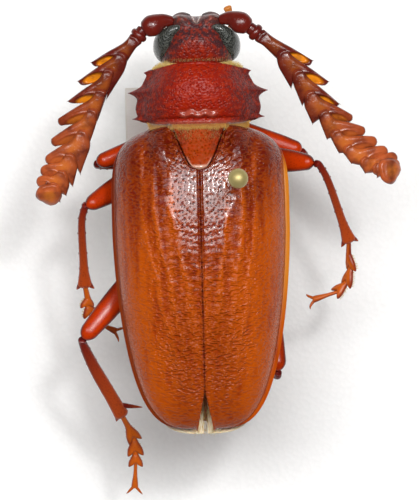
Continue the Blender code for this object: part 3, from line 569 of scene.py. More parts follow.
@dataclass(frozen=True)
class Finish:
    """What all finishes share: a name and one material each."""

    name: str

    def material(self) -> bpy.types.Material:
        """The finish's material, made once."""
        found = bpy.data.materials.get(self.name)
        return found or self.weave(Web(self.name))

    def weave(self, web: Web) -> bpy.types.Material:
        """Builds the nodes; each finish has its own."""
        raise NotImplementedError


@dataclass(frozen=True)
class Horn(Finish):
    """Shiny, pitted insect horn that darkens where the piece is marked.

    Attributes:
        clear: colour where light comes through.
        deep: colour of thick and edge parts.
        edge: how strongly the edge mark darkens.
        tip: how strongly the along mark shifts to tip_colour.
        tip_colour: colour at the far end.
        pit: distance between pits, in millimetres.
        pit_depth: their depth.
        rough: roughness.
        coat: weight of the clear gloss.
        shine: strength of the plain reflection.
    """

    clear: Colour
    deep: Colour
    edge: float = 0.8
    tip: float = 0.0
    tip_colour: Colour = (0.3, 0.1, 0.02)
    pit: float = 0.2
    pit_depth: float = 0.02
    rough: float = 0.3
    coat: float = 0.15
    shine: float = 0.26

    def weave(self, web: Web) -> bpy.types.Material:
        """Edge and cloud masks mix the two colours, pit floors are darkened as painted shade, and pits and
        fine grain make the relief.
        """
        cloud = web.noise(1.1)
        shade = (web.mark("edge") * self.edge + (cloud - 0.5) * 0.9).rise(0.0, 0.95)
        colour = web.mix(shade, self.clear, self.deep)
        if self.tip:
            colour = web.mix(web.mark("along").rise(0.15, 1.0) * self.tip, colour, self.tip_colour)
        pits = web.pits(self.pit)
        # Painted shade: the floors of the pits are darkened towards the deep colour.
        floor = 1 - pits.rise(0.0, 0.42)
        dents = web.bump(pits.smallest(0.42), self.pit_depth)
        return web.finish(
            web.mix(floor * 0.55, colour, self.deep),
            (cloud - 0.5) * 0.2 + self.rough,
            normal=web.bump(web.noise(self.pit * 0.6, 4.0), self.pit_depth * 0.5, dents),
            coat=self.coat, coat_rough=0.16, shine=self.shine,
        )


@dataclass(frozen=True)
class DorsalHorn(Finish):
    """Front thorax and head: blood red along the middle, purplish brown at the sides, densely pitted.

    Attributes:
        middle: colour along the middle line.
        sides: colour at the sides.
        reach: distance from the middle line at which the side colour is full, in millimetres.
        front: Y where the side colour also takes over in front, in millimetres.
        shine: specular level of the bare horn.
        pale: how far the smooth lips turn pale, a painted highlight where the gloss mark lies.
    """

    middle: Colour = (0.27, 0.010, 0.002)
    sides: Colour = (0.115, 0.014, 0.012)
    reach: float = 3.8
    front: float = 13.0
    shine: float = 0.19
    pale: float = 0.12

    def weave(self, web: Web) -> bpy.types.Material:
        """Distance from the middle line and clouds mix the colours, the gloss mark paints a pale highlight,
        and pit floors get painted shade; crowded pits make the relief.
        """
        cloud, gloss = web.noise(0.9, 4.0), web.mark("gloss")
        ahead = web.axis(1).rise(self.front - 0.8, self.front + 0.8)
        away = web.axis(0).size() / self.reach + (cloud - 0.5) * 0.7 + ahead
        colour = web.mix(away.rise(0.22, 0.95), self.middle, self.sides)
        ruddy = web.noise(0.26, 2.0).rise(0.45, 0.62)
        colour = web.mix(ruddy * 0.38, colour, (0.42, 0.030, 0.003))
        # Painted highlight: the gloss mark tints the smooth lips and ridges pale.
        colour = web.mix(gloss * self.pale, colour, (0.66, 0.38, 0.27))
        pits = web.pits(0.175)
        # Painted shade: the floors of the pits are darkened.
        floor = 1 - pits.rise(0.02, 0.40)
        dents = web.bump(pits.smallest(0.55) * (1 - gloss * 0.85), 0.085)
        return web.finish(
            web.mix(floor * 0.65, colour, (0.03, 0.003, 0.002)),
            0.33 + (cloud - 0.5) * 0.1 - gloss * 0.14,
            normal=web.bump(web.noise(0.08, 3.0), 0.012, dents),
            coat=gloss * 0.9, coat_rough=0.15, shine=self.shine,
        )


@dataclass(frozen=True)
class CaseHorn(Finish):
    """Wing cases: dark red brown round the root and suture, orange brown to amber at the sides and tip.

    Attributes:
        root: colour round the scutellum.
        body: colour of the middle third.
        amber: colour of the clear streaks, sides and tip.
        seam: colour along the suture.
    """

    root: Colour = (0.120, 0.006, 0.001)
    body: Colour = (0.225, 0.016, 0.001)
    amber: Colour = (0.44, 0.068, 0.001)
    seam: Colour = (0.095, 0.006, 0.007)

    def weave(self, web: Web) -> bpy.types.Material:
        """Place, streaks and clouds mix the colours, worm ridges get a painted golden highlight and pit
        floors painted shade; worm-like ridges make the relief.
        """
        right, y = web.axis(0), web.axis(1)
        x = right.size()
        rib, rim, smooth, seam = (web.mark(name) for name in ("rib", "rim", "smooth", "seam"))
        streak = web.noise(1.0, 4.0, web.scaled(1.7, 0.14, 1.0))
        cloud = web.noise(1.3, 4.0)
        back = (y * -1 + x * 0.9 + (cloud - 0.5) * 1.5 + (streak - 0.5) * 5.0).rise(-6.5, 5.0)
        flame = (streak + cloud - 1.0).rise(0.02, 0.22)
        clear = back * 0.43 + (streak - 0.5) * 1.9 + (cloud - 0.5) * 0.3 + rib * 0.42 + x * 0.055 - y * 0.030
        brown = (x - 1.1).hill(2.3) * y.rise(-1.5, -7.0) * (cloud * 0.8 + 0.5).smallest(1.0)
        amber_side = rim * right.rise(0.0, 1.0) * y.rise(-6.0, -1.0) * y.rise(6.6, 5.0)
        worm = 1 - (web.noise(0.33, 1.5, web.scaled(0.65, 1.3, 1.0)) * 2 - 1).size() * 3.2
        ridge = worm.largest(0.0) * (1 - rim)
        floor = web.mark("pit").rise(0.25, 0.75)
        colour = web.mix(back, web.mix(flame * 0.6, self.root, self.body), self.body)
        for share, tint in (
            (clear.rise(0.15, 0.95) * back.rise(0.0, 0.4), self.amber),
            (brown * 0.78, (0.21, 0.021, 0.001)),
            (amber_side * 0.8, (0.62, 0.22, 0.015)),
            (rim * right.rise(0.0, -1.0) * 0.7, (0.10, 0.010, 0.003)),
            (seam, self.seam),
            # Painted highlight: worm ridge tops tinted golden in place of glints; the same ridges also give
            # real relief and roughness.
            (ridge * 0.30, (0.52, 0.10, 0.003)),
            (web.mark("hump") * 0.75, (0.085, 0.003, 0.001)),
            # Painted shade: the pit floors are darkened almost to black.
            (floor * 0.95, (0.012, 0.002, 0.002)),
        ):
            colour = web.mix(share, colour, tint)
        lively = (1 - x.rise(1.2, 4.6) * 0.6) * (y.rise(-11.0, -5.5) * 0.65 + 0.35)
        worms = web.bump(ridge * (1 - smooth * 0.75) * lively, 0.095)
        return web.finish(
            colour,
            0.26 - ridge * 0.05 - smooth * 0.07,
            normal=web.bump(web.noise(0.09, 2.0), 0.010, worms),
            coat=(smooth * (0.82 - floor * 0.9) + lively * 0.15).largest(0.0) * (1 - seam),
            coat_rough=0.14, shine=0.16,
        )


@dataclass(frozen=True)
class FeelerHorn(Finish):
    """Antenna: dark red at the root, orange brown outwards, with clear orange hollows and black seams, partly
    painted shade under each overlapping plate.
    """

    def weave(self, web: Web) -> bpy.types.Material:
        """The reach mark grades the colour, cup brightens hollows, and tooth darkens tips and seams; at the
        plate roots this darkening is painted shade.
        """
        cloud = web.noise(0.8, 4.0)
        grade = (web.mark("reach") + (cloud - 0.5) * 0.5).rise(0.0, 0.8)
        colour = web.mix(grade, (0.12, 0.008, 0.004), (0.45, 0.090, 0.022))
        colour = web.mix(web.mark("cup") * (cloud * 0.7 + 0.6).smallest(1.0), colour, (0.72, 0.23, 0.008))
        # The tooth mark darkens tips and inner sides, and paints shade at each plate's root under the
        # previous plate's rim.
        dark = web.mark("tooth") * 0.7 + (0.55 - cloud).rise(0.0, 0.22) * 0.4
        return web.finish(
            web.mix(dark.smallest(0.85), colour, (0.06, 0.006, 0.005)),
            0.22 + grade * 0.12,
            normal=web.bump(web.noise(0.07, 2.0), 0.012, web.bump(web.pits(0.13).smallest(0.4), 0.03)),
            coat=0.4, coat_rough=0.14, shine=0.3,
        )


@dataclass(frozen=True)
class EyeHorn(Finish):
    """Eye: greyish black, packed with coarse facets."""

    def weave(self, web: Web) -> bpy.types.Material:
        """Cells are the facets; their walls are lighter and their middles bulge."""
        facets = web.pits(0.13)
        walls = facets.rise(0.34, 0.62)
        colour = web.mix(walls * 0.7, (0.012, 0.014, 0.012), (0.07, 0.075, 0.062))
        normal = web.bump(1 - facets * facets, 0.055)
        return web.finish(colour, walls * 0.3 + 0.2, normal=normal, coat=0.8, coat_rough=0.10)


@dataclass(frozen=True)
class Membrane(Finish):
    """Folded hind wings: thin cream membrane with brown veins where marked."""

    def weave(self, web: Web) -> bpy.types.Material:
        """The vein mark darkens, and creases make the relief."""
        crease = web.noise(0.5, 3.0, web.scaled(2.5, 0.6, 1.0))
        colour = web.mix(crease, (0.78, 0.62, 0.38), (0.88, 0.78, 0.58))
        return web.finish(
            web.mix(web.mark("vein") * 0.7, colour, (0.36, 0.17, 0.05)),
            crease * 0.2 + 0.3,
            normal=web.bump(crease, 0.08),
            coat=0.2, depth=0.15, depth_scale=0.0004, ior=1.45,
        )


@dataclass(frozen=True)
class Hair(Finish):
    """Bristles, darker at the root.

    Attributes:
        root: colour at the root.
        tip: colour at the tip.
    """

    root: Colour
    tip: Colour

    def weave(self, web: Web) -> bpy.types.Material:
        """The along mark runs from root to tip."""
        tone = (web.mark("along") + (web.noise(0.3) - 0.5) * 0.5).rise(0.0, 0.7)
        colour = web.mix(tone, self.root, self.tip)
        return web.finish(colour, 0.55 - tone * 0.15, sheen=0.2)


@dataclass(frozen=True)
class PinMetal(Finish):
    """Insect pin: drawn steel shaft and a ball head of olive brass under varnish."""

    def weave(self, web: Web) -> bpy.types.Material:
        """The head mark parts brass from steel, and fine drawing lines roughen the shaft."""
        lines = web.noise(0.15, 2.0, web.scaled(8.0, 8.0, 0.3))
        tarnish, head = web.noise(0.35, 4.0), web.mark("head")
        steel = web.mix(lines, (0.50, 0.49, 0.46), (0.70, 0.69, 0.66))
        brass = web.mix(tarnish, (0.34, 0.27, 0.085), (0.50, 0.40, 0.17))
        return web.finish(
            web.mix(head, steel, brass),
            head * 0.22 + 0.24 + (tarnish - 0.5) * 0.12,
            normal=web.bump(lines, 0.002),
            metallic=1.0 - head * 0.45, coat=0.2, coat_rough=0.35,
        )


@dataclass(frozen=True)
class Card(Finish):
    """Matt card with paper fibres and slightly yellowed edges."""

    def weave(self, web: Web) -> bpy.types.Material:
        """Fibre noise tints and roughens the surface."""
        fibre = web.noise(0.4, 5.0, web.scaled(1.0, 3.0, 1.0))
        colour = web.mix(fibre, (0.80, 0.78, 0.73), (0.90, 0.89, 0.86))
        colour = web.mix(web.mark("edge") * 0.3, colour, (0.70, 0.64, 0.52))
        return web.finish(colour, fibre * 0.15 + 0.75, normal=web.bump(fibre, 0.02))


@dataclass(frozen=True)
class Foam(Finish):
    """Fine closed-cell foam: pinhead cells, chalk white."""

    def weave(self, web: Web) -> bpy.types.Material:
        """Small cells dimple the surface, and a faint cloud tints it."""
        cells, cloud = web.pits(0.32), web.noise(6.0)
        colour = web.mix(cloud, (0.93, 0.93, 0.92), (0.97, 0.97, 0.965))
        colour = web.mix(cells.rise(0.5, 0.8) * 0.12, colour, (0.80, 0.80, 0.79))
        return web.finish(colour, cloud * 0.1 + 0.85, normal=web.bump(cells, 0.03))


CASE_HORN = CaseHorn("wing_case_horn")
# pale sets how much painted highlight the gloss-marked lips and ridges get.
THORAX_HORN = DorsalHorn("thorax_horn")
HEAD_HORN = DorsalHorn("head_horn", (0.18, 0.009, 0.003), (0.060, 0.016, 0.018), 2.3, 13.9, pale=0.7)
SHIELD_HORN = DorsalHorn(
    "shield_horn", (0.29, 0.034, 0.001), (0.11, 0.008, 0.002), 2.0, 30.0, shine=0.04, pale=0.75
)
BELLY_HORN = Horn("belly_horn", (0.26, 0.026, 0.006), (0.09, 0.009, 0.005), edge=0.4, pit=0.22)
THIGH_HORN = Horn(
    "thigh_horn", (0.43, 0.030, 0.001), (0.085, 0.006, 0.002), 0.85,
    pit=0.16, pit_depth=0.010, rough=0.24, coat=0.1, shine=0.15,
)
SHANK_HORN = Horn(
    "shank_horn", (0.15, 0.009, 0.004), (0.055, 0.005, 0.006), 0.6, 0.9, (0.42, 0.060, 0.008),
    pit=0.17, pit_depth=0.015, rough=0.22, coat=0.25,
)
FOOT_HORN = Horn(
    "foot_horn", (0.50, 0.095, 0.005), (0.20, 0.016, 0.003), pit=0.12, pit_depth=0.012, rough=0.36, coat=0.1
)
JAW_HORN = Horn(
    "jaw_horn", (0.10, 0.010, 0.005), (0.03, 0.004, 0.003), 0.5, 0.8, (0.015, 0.004, 0.004),
    rough=0.4, coat=0.05,
)
PALP_HORN = Horn(
    "palp_horn", (0.46, 0.13, 0.020), (0.24, 0.045, 0.010), 0.4, 0.7, (0.55, 0.20, 0.035),
    pit=0.12, pit_depth=0.010, rough=0.36, coat=0.1,
)
FEELER_HORN = FeelerHorn("feeler_horn")
EYE_HORN = EyeHorn("eye_facets")
MEMBRANE = Membrane("wing_membrane_cream")
GOLD_HAIR = Hair("golden_hair", (0.40, 0.20, 0.03), (0.78, 0.56, 0.14))
SKIRT_HAIR = Hair("skirt_hair", (0.30, 0.10, 0.010), (0.56, 0.30, 0.05))
FOOT_PAD = Hair("foot_pad_hair", (0.50, 0.30, 0.06), (0.82, 0.55, 0.14))
PIN_METAL = PinMetal("pin_metal")
CARD = Card("label_card_paper")
FOAM = Foam("foam_cells")


# Fringes and bristles


@dataclass
class Fringe:
    """Many thin, bent bristles on given roots, each a tapered three-sided mesh.

    Attributes:
        roots: where each bristle stands.
        leans: the direction that each one points in.
        lengths: their lengths.
        thick: half thickness at the root.
        droop: how far each tip bends down, as a share of its length.
        stations: rings along each bristle.
    """

    roots: Array
    leans: Array
    lengths: Array
    thick: float = 0.012
    droop: float = 0.25
    stations: int = 4

    def patch(self) -> Patch:
        """Root + lean * length * t, bent by droop * t * t, with three sides that taper to the tip."""
        rows = self.stations
        t = np.linspace(0, 1, rows)[None, :, None]
        lean = unit(self.leans)
        reach = self.lengths[:, None, None]
        line = self.roots[:, None] + lean[:, None] * reach * t
        line = line - np.array(UP) * (self.droop * reach * t**2)
        across = unit(np.cross(lean, np.array([0.13, 0.21, 0.97])))
        up = np.cross(across, lean)
        turn = (np.arange(3) * 2 * np.pi / 3)[None, None, :, None]
        around = across[:, None, None] * np.cos(turn) + up[:, None, None] * np.sin(turn)
        points = line[:, :, None] + around * (self.thick * (1 - 0.88 * t))[..., None]
        first = np.arange(len(self.roots))[:, None, None] * rows * 3
        quads = ring_quads(rows, 3)[None] + first
        ends = np.array([[0, 2, 1], [3 * rows - 3, 3 * rows - 2, 3 * rows - 1]])[None] + first
        along = np.broadcast_to(t[..., 0, None], points.shape[:3]).ravel()
        points, quads, ends = points.reshape(-1, 3), quads.reshape(-1, 4), ends.reshape(-1, 3)
        return Patch(points, quads, ends, {"along": along}).facing_out()

    def piece(self, name: str, finish: Finish, slot: Slot) -> bpy.types.Object:
        """Makes the bristles one piece, with the OFBake map on an unwrap of the skin's plan.

        Args:
            name: the piece's name.
            finish: the bristles' finish.
            slot: the record's slot; not used.

        Returns:
            The piece; each bristle is a patch 0.003 across at its root's place.
        """
        made = self.patch().piece(name, finish, slot, ())
        low, high = self.roots[:, :2].min(0), self.roots[:, :2].max(0)
        place = 0.05 + 0.9 * (self.roots[:, :2] - low) / np.maximum(high - low, 0.1)
        steps = (np.linspace(0, 0.003, count) for count in (self.stations, 3))
        offset = np.stack(np.meshgrid(*steps, indexing="ij"), -1)
        corner = (place[:, None] + offset.reshape(1, -1, 2)).reshape(-1, 2)
        layer = made.data.uv_layers.new(name="OFBake")
        loops = np.empty(len(made.data.loops), np.int32)
        made.data.loops.foreach_get("vertex_index", loops)
        layer.data.foreach_set("uv", corner[loops].astype(np.float32).ravel())
        return made


# Wing cases

# The dome that wing cases, hind wings and abdomen follow, in millimetres
SIDE_SPAN = 5.96
DOME_MIDDLE_Y = 1.6
DOME_BACK, DOME_FRONT = 13.6, 6.85
DOME_HEIGHT = 3.6
CASE_FRONT_Y, CASE_BACK_Y = 8.28, -11.985
FOLDED_END_Y = -11.6


def dome_half_width(y: Array, shrink: float) -> Array:
    """Half width of the dome, (1 - share ** n) ** (1 / p): a long taper behind and a shoulder in front."""
    back = np.clip((DOME_MIDDLE_Y - y) / (DOME_BACK - shrink), 0, 1) ** 1.6
    front = np.clip((y - DOME_MIDDLE_Y) / (DOME_FRONT - shrink / 2), 0, 1) ** 5
    shape = np.where(y < DOME_MIDDLE_Y, (1 - back) ** (1 / 4.05), (1 - front) ** (1 / 2.7))
    return (SIDE_SPAN - shrink) * shape


def dome_height(y: Array, shrink: float) -> Array:
    """Height of the dome over its margin along the middle line."""
    back = np.clip((DOME_MIDDLE_Y - y) / (DOME_BACK - shrink), 0, 1) ** 2.6
    front = np.clip((y - DOME_MIDDLE_Y) / DOME_FRONT, 0, 1) ** 2.5
    return (DOME_HEIGHT - shrink) * np.where(y < DOME_MIDDLE_Y, (1 - back) ** 0.62, 1 - 0.3 * front)


def tail_slope(rise: Array | float, y: Array, over: float = 0.05) -> Array:
    """The level of a crest over the margin, cut down behind by a slope that ends under the margin."""
    return MARGIN_Z + np.maximum(np.minimum(rise, over + 0.85 * (y + 8.9)), -0.85)


def shield_half_width(y: Array) -> Array:
    """Half width of the tongue-shaped scutellum at a distance from its tip."""
    share = np.clip((y - SCUTELLUM_TIP_Y) / 2.7, 0, 1)
    return 1.50 * share**0.42 + 0.18 * share**3


@dataclass
class WingCase:
    """One elytron: a domed shell with three faint ribs, a flat rim and a raised suture edge.

    Attributes:
        side: which side it is on.
        front_rows, back_rows: rows of points before and behind the widest place.
        dome_columns, rim_columns: points across the dome and the rim.
        shell: thickness of the shell.
        rim_drop: depth of the rim's outer face.
        ribs: places of the ribs, as shares of the half width.
        rib_height, hump_height, pit_depth: heights and depth of the relief.
        humps, hollows: mounds that rise and sink at the shoulder.
    """

    side: Side
    front_rows: int = 90
    back_rows: int = 235
    dome_columns: int = 112
    rim_columns: int = 14
    shell: float = 0.42
    rim_drop: float = 0.42
    ribs: tuple[float, ...] = (0.26, 0.46, 0.61)
    rib_height: float = 0.055
    hump_height: float = 0.32
    pit_depth: float = 0.045
    humps: Points = ((2.6, 7.0, 0.60, 1.1, 1.0), (4.5, 6.2, 0.6, 1.1, 0.7))
    hollows: Points = ((3.6, 7.0, 0.45, 1.0, 0.20), (1.85, 7.2, 0.28, 0.9, 0.22))

    def rows(self) -> Array:
        """Stations along Y, closer together towards the ends."""
        quarter = np.pi / 2
        ahead = np.sin(quarter * (1 - np.arange(self.front_rows) / self.front_rows))
        behind = np.sin(quarter * np.arange(self.back_rows + 1) / self.back_rows)
        front, back = CASE_FRONT_Y - DOME_MIDDLE_Y, DOME_MIDDLE_Y - CASE_BACK_Y
        return DOME_MIDDLE_Y + np.concatenate([front * ahead, -back * behind])

    def inner_edge(self, y: Array) -> Array:
        """Distance of the inner edge from the middle line: round the scutellum, then the opening suture."""
        round_shield = np.where(y > SCUTELLUM_TIP_Y, shield_half_width(y) + 0.07, 0.0)
        opening = 0.55 * np.clip((-9.3 - y) / 2.7, 0, 1) ** 1.15
        return np.maximum(round_shield, 0.005 + opening)

    def outer(self, y: Array, share: Array) -> tuple[Array, dict[str, Array]]:
        """The upper surface and its marks.

        The dome is z = height * (1 - t ** 2.78) ** 0.525 with t the share of the half width, and the rim
        bends down with the square of the way over it.

        Args:
            y: stations, as a column.
            share: places from the inner edge, 0, to the foot of the dome, 1, and on over the rim to 2.

        Returns:
            Points by row and column on the right side, and the marks rib, rim, seam, smooth, pit and hump.
        """
        whole = dome_half_width(y, 0.0)
        flange = 0.27 if self.side is Side.RIGHT else 0.20
        rim = np.minimum(flange, whole * 0.3) * step(y, 7.2, 4.5) + 0.04
        foot = np.maximum(whole - rim, 0.01)
        inner = np.minimum(self.inner_edge(y), whole - 0.03)
        start = np.minimum(inner / foot, 0.995)
        on_dome, over = np.clip(share, 0, 1), np.clip(share - 1, 0, 1)
        t = start + (1 - start) * (1 - (1 - on_dome) ** 1.5)
        x = foot * t + (whole - foot) * over
        gap = x - inner
        z = dome_height(y, 0.0) * np.clip(1 - t**2.78, 0, 1) ** 0.525
        lean = 0.030 if self.side is Side.LEFT else 0.016
        wander = lean * np.minimum(y, 3.0) + 0.012 * value_noise(t * 0.0 + 3.0, y * 0.5, 9.0)
        calm = step(y, 8.2, 5.5) * step(y, -12.0, -9.0) * step(t, 0.95, 0.85) * step(t, 0.08, 0.14)
        rib = sum(bell(t, place + wander, 0.028) for place in self.ribs) * calm
        z = z + (0.06 * bell(gap, 0.09, 0.07) - 0.02 * bell(gap, 0.22, 0.06)) * (share < 1)
        hump = mounds(x, y, self.humps)
        z = z + self.hump_height * hump - mounds(x, y, self.hollows)
        reach = np.interp(y, (-0.8, 0.6, 2.0, 3.5, 4.7, 6.0, 7.2), (0.35, 1.25, 1.65, 2.1, 2.35, 2.2, 1.5))
        smooth = step(x / reach + 0.32 * value_noise(x * 2.2, y * 1.5, 2.0), 1.12, 0.72)
        smooth = smooth * step(gap, 0.05, 0.3) * step(y, -1.2, 0.8) * step(y, 7.4, 6.6)
        z = z + self.rib_height * rib * (1 - 0.85 * smooth) * step(on_dome, 0.0, 0.08)
        warp = 0.6 * value_noise(x * 1.1, y * 0.9, 3.0)
        coarse = value_noise(x * 2.6 + warp, y * 3.6 + warp, 5.0)
        coarse = coarse + 0.5 * value_noise(x * 5.2, y * 6.6 + warp, 8.0)
        rough = step(t, 0.995, 0.90) * (share < 1)
        lively = 0.45 + 0.55 * step(y, -10.0, -5.0) * step(x, 5.2, 2.5)
        z = z + (0.025 * lively - 0.018 * smooth) * coarse * rough
        z = z + 0.05 * value_noise(x * 1.7, y * 0.9, 6.0) * step(y, 2.0, 4.5) * step(x, 1.9, 2.6) * rough
        pit = pits(x, y, 3.7, 21.0, 0.27) * rough * smooth
        z = np.where(share > 1, -0.10 * over**2, z - self.pit_depth * pit)
        edge_tooth = bell(gap, 0.0, 0.10) * step(y, -11.2, -12.0)
        seam = 0.85 * bell(gap, 0.0, 0.10) * step(y, -12.2, -8.0)
        marks = {"rib": rib, "rim": step(share, 0.985, 1.06), "seam": seam}
        marks.update({"smooth": smooth, "pit": pit, "hump": np.clip(hump, 0, 1)})
        return spread(x, y - 0.14 * edge_tooth, MARGIN_Z + z), marks

    def build(self) -> bpy.types.Object:
        """Closes the upper surface with a lining under it and makes the piece."""
        y = self.rows()[:, None]
        dome = np.linspace(0, 1, self.dome_columns, endpoint=False)
        share = np.concatenate([dome, 1 + np.linspace(0, 1, self.rim_columns)])[None, :]
        top, marks = self.outer(y, share)
        ends = step(y, CASE_FRONT_Y, 7.9) * step(y, -11.98, -11.4)
        inward = step(share, 0.55, 1.0) * step(share, 1.12, 1.0)
        rim_z = MARGIN_Z - self.rim_drop * (0.25 + 0.75 * ends)
        x = np.maximum(top[..., 0] - self.shell * inward * ends, top[:, :1, 0])
        z = np.where(share > 1, rim_z, top[..., 2] - self.shell * (0.12 + 0.88 * ends))
        rings = out_and_back(top, spread(x, top[..., 1], np.maximum(z, rim_z)))
        rings[..., 0] *= self.side.value
        both = {name: np.tile(np.broadcast_to(mark, top.shape[:2]), 2) for name, mark in marks.items()}
        patch = Patch.rings(rings, both, capped=False)
        count = 2 * share.shape[1]
        k = np.arange(count // 2 - 1)
        front = np.stack([k, k + 1, count - 2 - k, count - 1 - k], -1)
        back = front[:, ::-1] + (len(y) - 1) * count
        turn = -1 if self.side is Side.LEFT else 1
        patch.quads = np.vstack([patch.quads, front[:, ::turn], back[:, ::turn]])
        name = f"wing_case_{self.side.word}"
        return patch.piece(name, CASE_HORN, Slot.WING_CASE, (f"elytron_{self.side.word}",))


@dataclass
class FoldedWing:
    """One folded hind wing: a creased cream membrane that shows past the wing-case tips.

    Attributes:
        side: which side it is on.
        tip_y: Y of its tip.
        half_width: widest distance from the middle line.
        thick: thickness of the folded sheet.
    """

    side: Side
    tip_y: float = -12.35
    half_width: float = 4.45
    thick: float = 0.16

    def build(self) -> bpy.types.Object:
        """A sheet under the dome that dips to the rim behind, with fold creases and four veins."""
        y = np.linspace(-0.7, self.tip_y + 0.02, 120)[:, None]
        t = np.linspace(0, 1, 60)[None, :]
        share = np.clip((-1.5 - y) / (-1.5 - self.tip_y), 0, 1)
        free = self.half_width * np.clip(1 - share**3.0, 0.0001, 1) ** 0.28
        dome = dome_half_width(np.maximum(y, FOLDED_END_Y), 1.25)
        crest = tail_slope(dome_height(y, 0.95), y)
        wide = np.where(crest < MARGIN_Z - 0.8, free, np.minimum(free, dome))
        edge = np.minimum(MARGIN_Z - 0.45, crest - 0.05)
        x = 0.12 + (wide - 0.12) * t
        z = edge + (crest - edge) * np.sqrt(np.clip(1 - t**2.4, 0, 1)) + 0 * y
        crease = 0.05 * np.sin(t * 17 + 0.5 * y) * np.sin(np.pi * t) + 0.03 * value_noise(x * 3, y * 1.5, 4.0)
        vein = sum(bell(t + 0.01 * y, place, 0.012) for place in (0.12, 0.38, 0.62, 0.8))
        upper = spread(self.side.value * x, y, z + crease + 0.03 * vein)
        sheet = out_and_back(upper, upper - (0, 0, self.thick))
        patch = Patch.rings(sheet, {"vein": out_and_back(vein, vein)})
        name = f"folded_wing_{self.side.word}"
        return patch.piece(name, MEMBRANE, Slot.MEMBRANE, (f"hind_wing_{self.side.word}",))


@dataclass
class Shield:
    """The scutellum: a tongue-shaped plate with a glossy raised lip round its tip."""

    top_z: float = 31.12
    root_y: float = 8.25
    depth: float = 0.9

    def build(self) -> bpy.types.Object:
        """Rows run from tip to root, and each is a crowned section with a bead at its edge."""
        even = np.linspace(0, 1, 70)[:, None]
        y = SCUTELLUM_TIP_Y + 0.012 + (self.root_y - SCUTELLUM_TIP_Y) * (1 - np.cos(even * np.pi / 2))
        half = shield_half_width(y)
        t = np.sin(np.linspace(-np.pi / 2, np.pi / 2, 70))[None, :]
        from_tip = step(y, SCUTELLUM_TIP_Y, SCUTELLUM_TIP_Y + 1.0)
        round_tip = step(y, SCUTELLUM_TIP_Y + 0.38, SCUTELLUM_TIP_Y + 0.26)
        edge = np.maximum(step(np.abs(t), 0.76, 0.84), round_tip)
        lip = edge * (0.05 + 0.15 * np.maximum(SCUTELLUM_TIP_Y + 0.9 - y, 0))
        crown = 0.10 * (1 - t**2) + lip - 0.12 * (1 - step(y, SCUTELLUM_TIP_Y, SCUTELLUM_TIP_Y + 0.16))
        z = self.top_z + 0.05 * (y - 7.2) + crown - 0.10 * step(np.abs(t), 0.95, 1.0)
        upper, lower = spread(half * t, y, z), spread(half * t * 0.93, y, z - self.depth)
        specks = step(value_noise(half * t * 6.0, y * 6.0, 17.0), 0.1, 0.5) * (1 - 0.7 * from_tip)
        # Besides the clear coat, the gloss mark paints a pale highlight on the lip and specks.
        gloss = np.clip(edge * (1 - from_tip) + 0.10 * specks, 0, 1)
        patch = Patch.rings(out_and_back(upper, lower), {"gloss": out_and_back(gloss, 0 * gloss)})
        return patch.piece("scutellum_plate", SHIELD_HORN, Slot.BODY, ("scutellum",))


# Front thorax and head


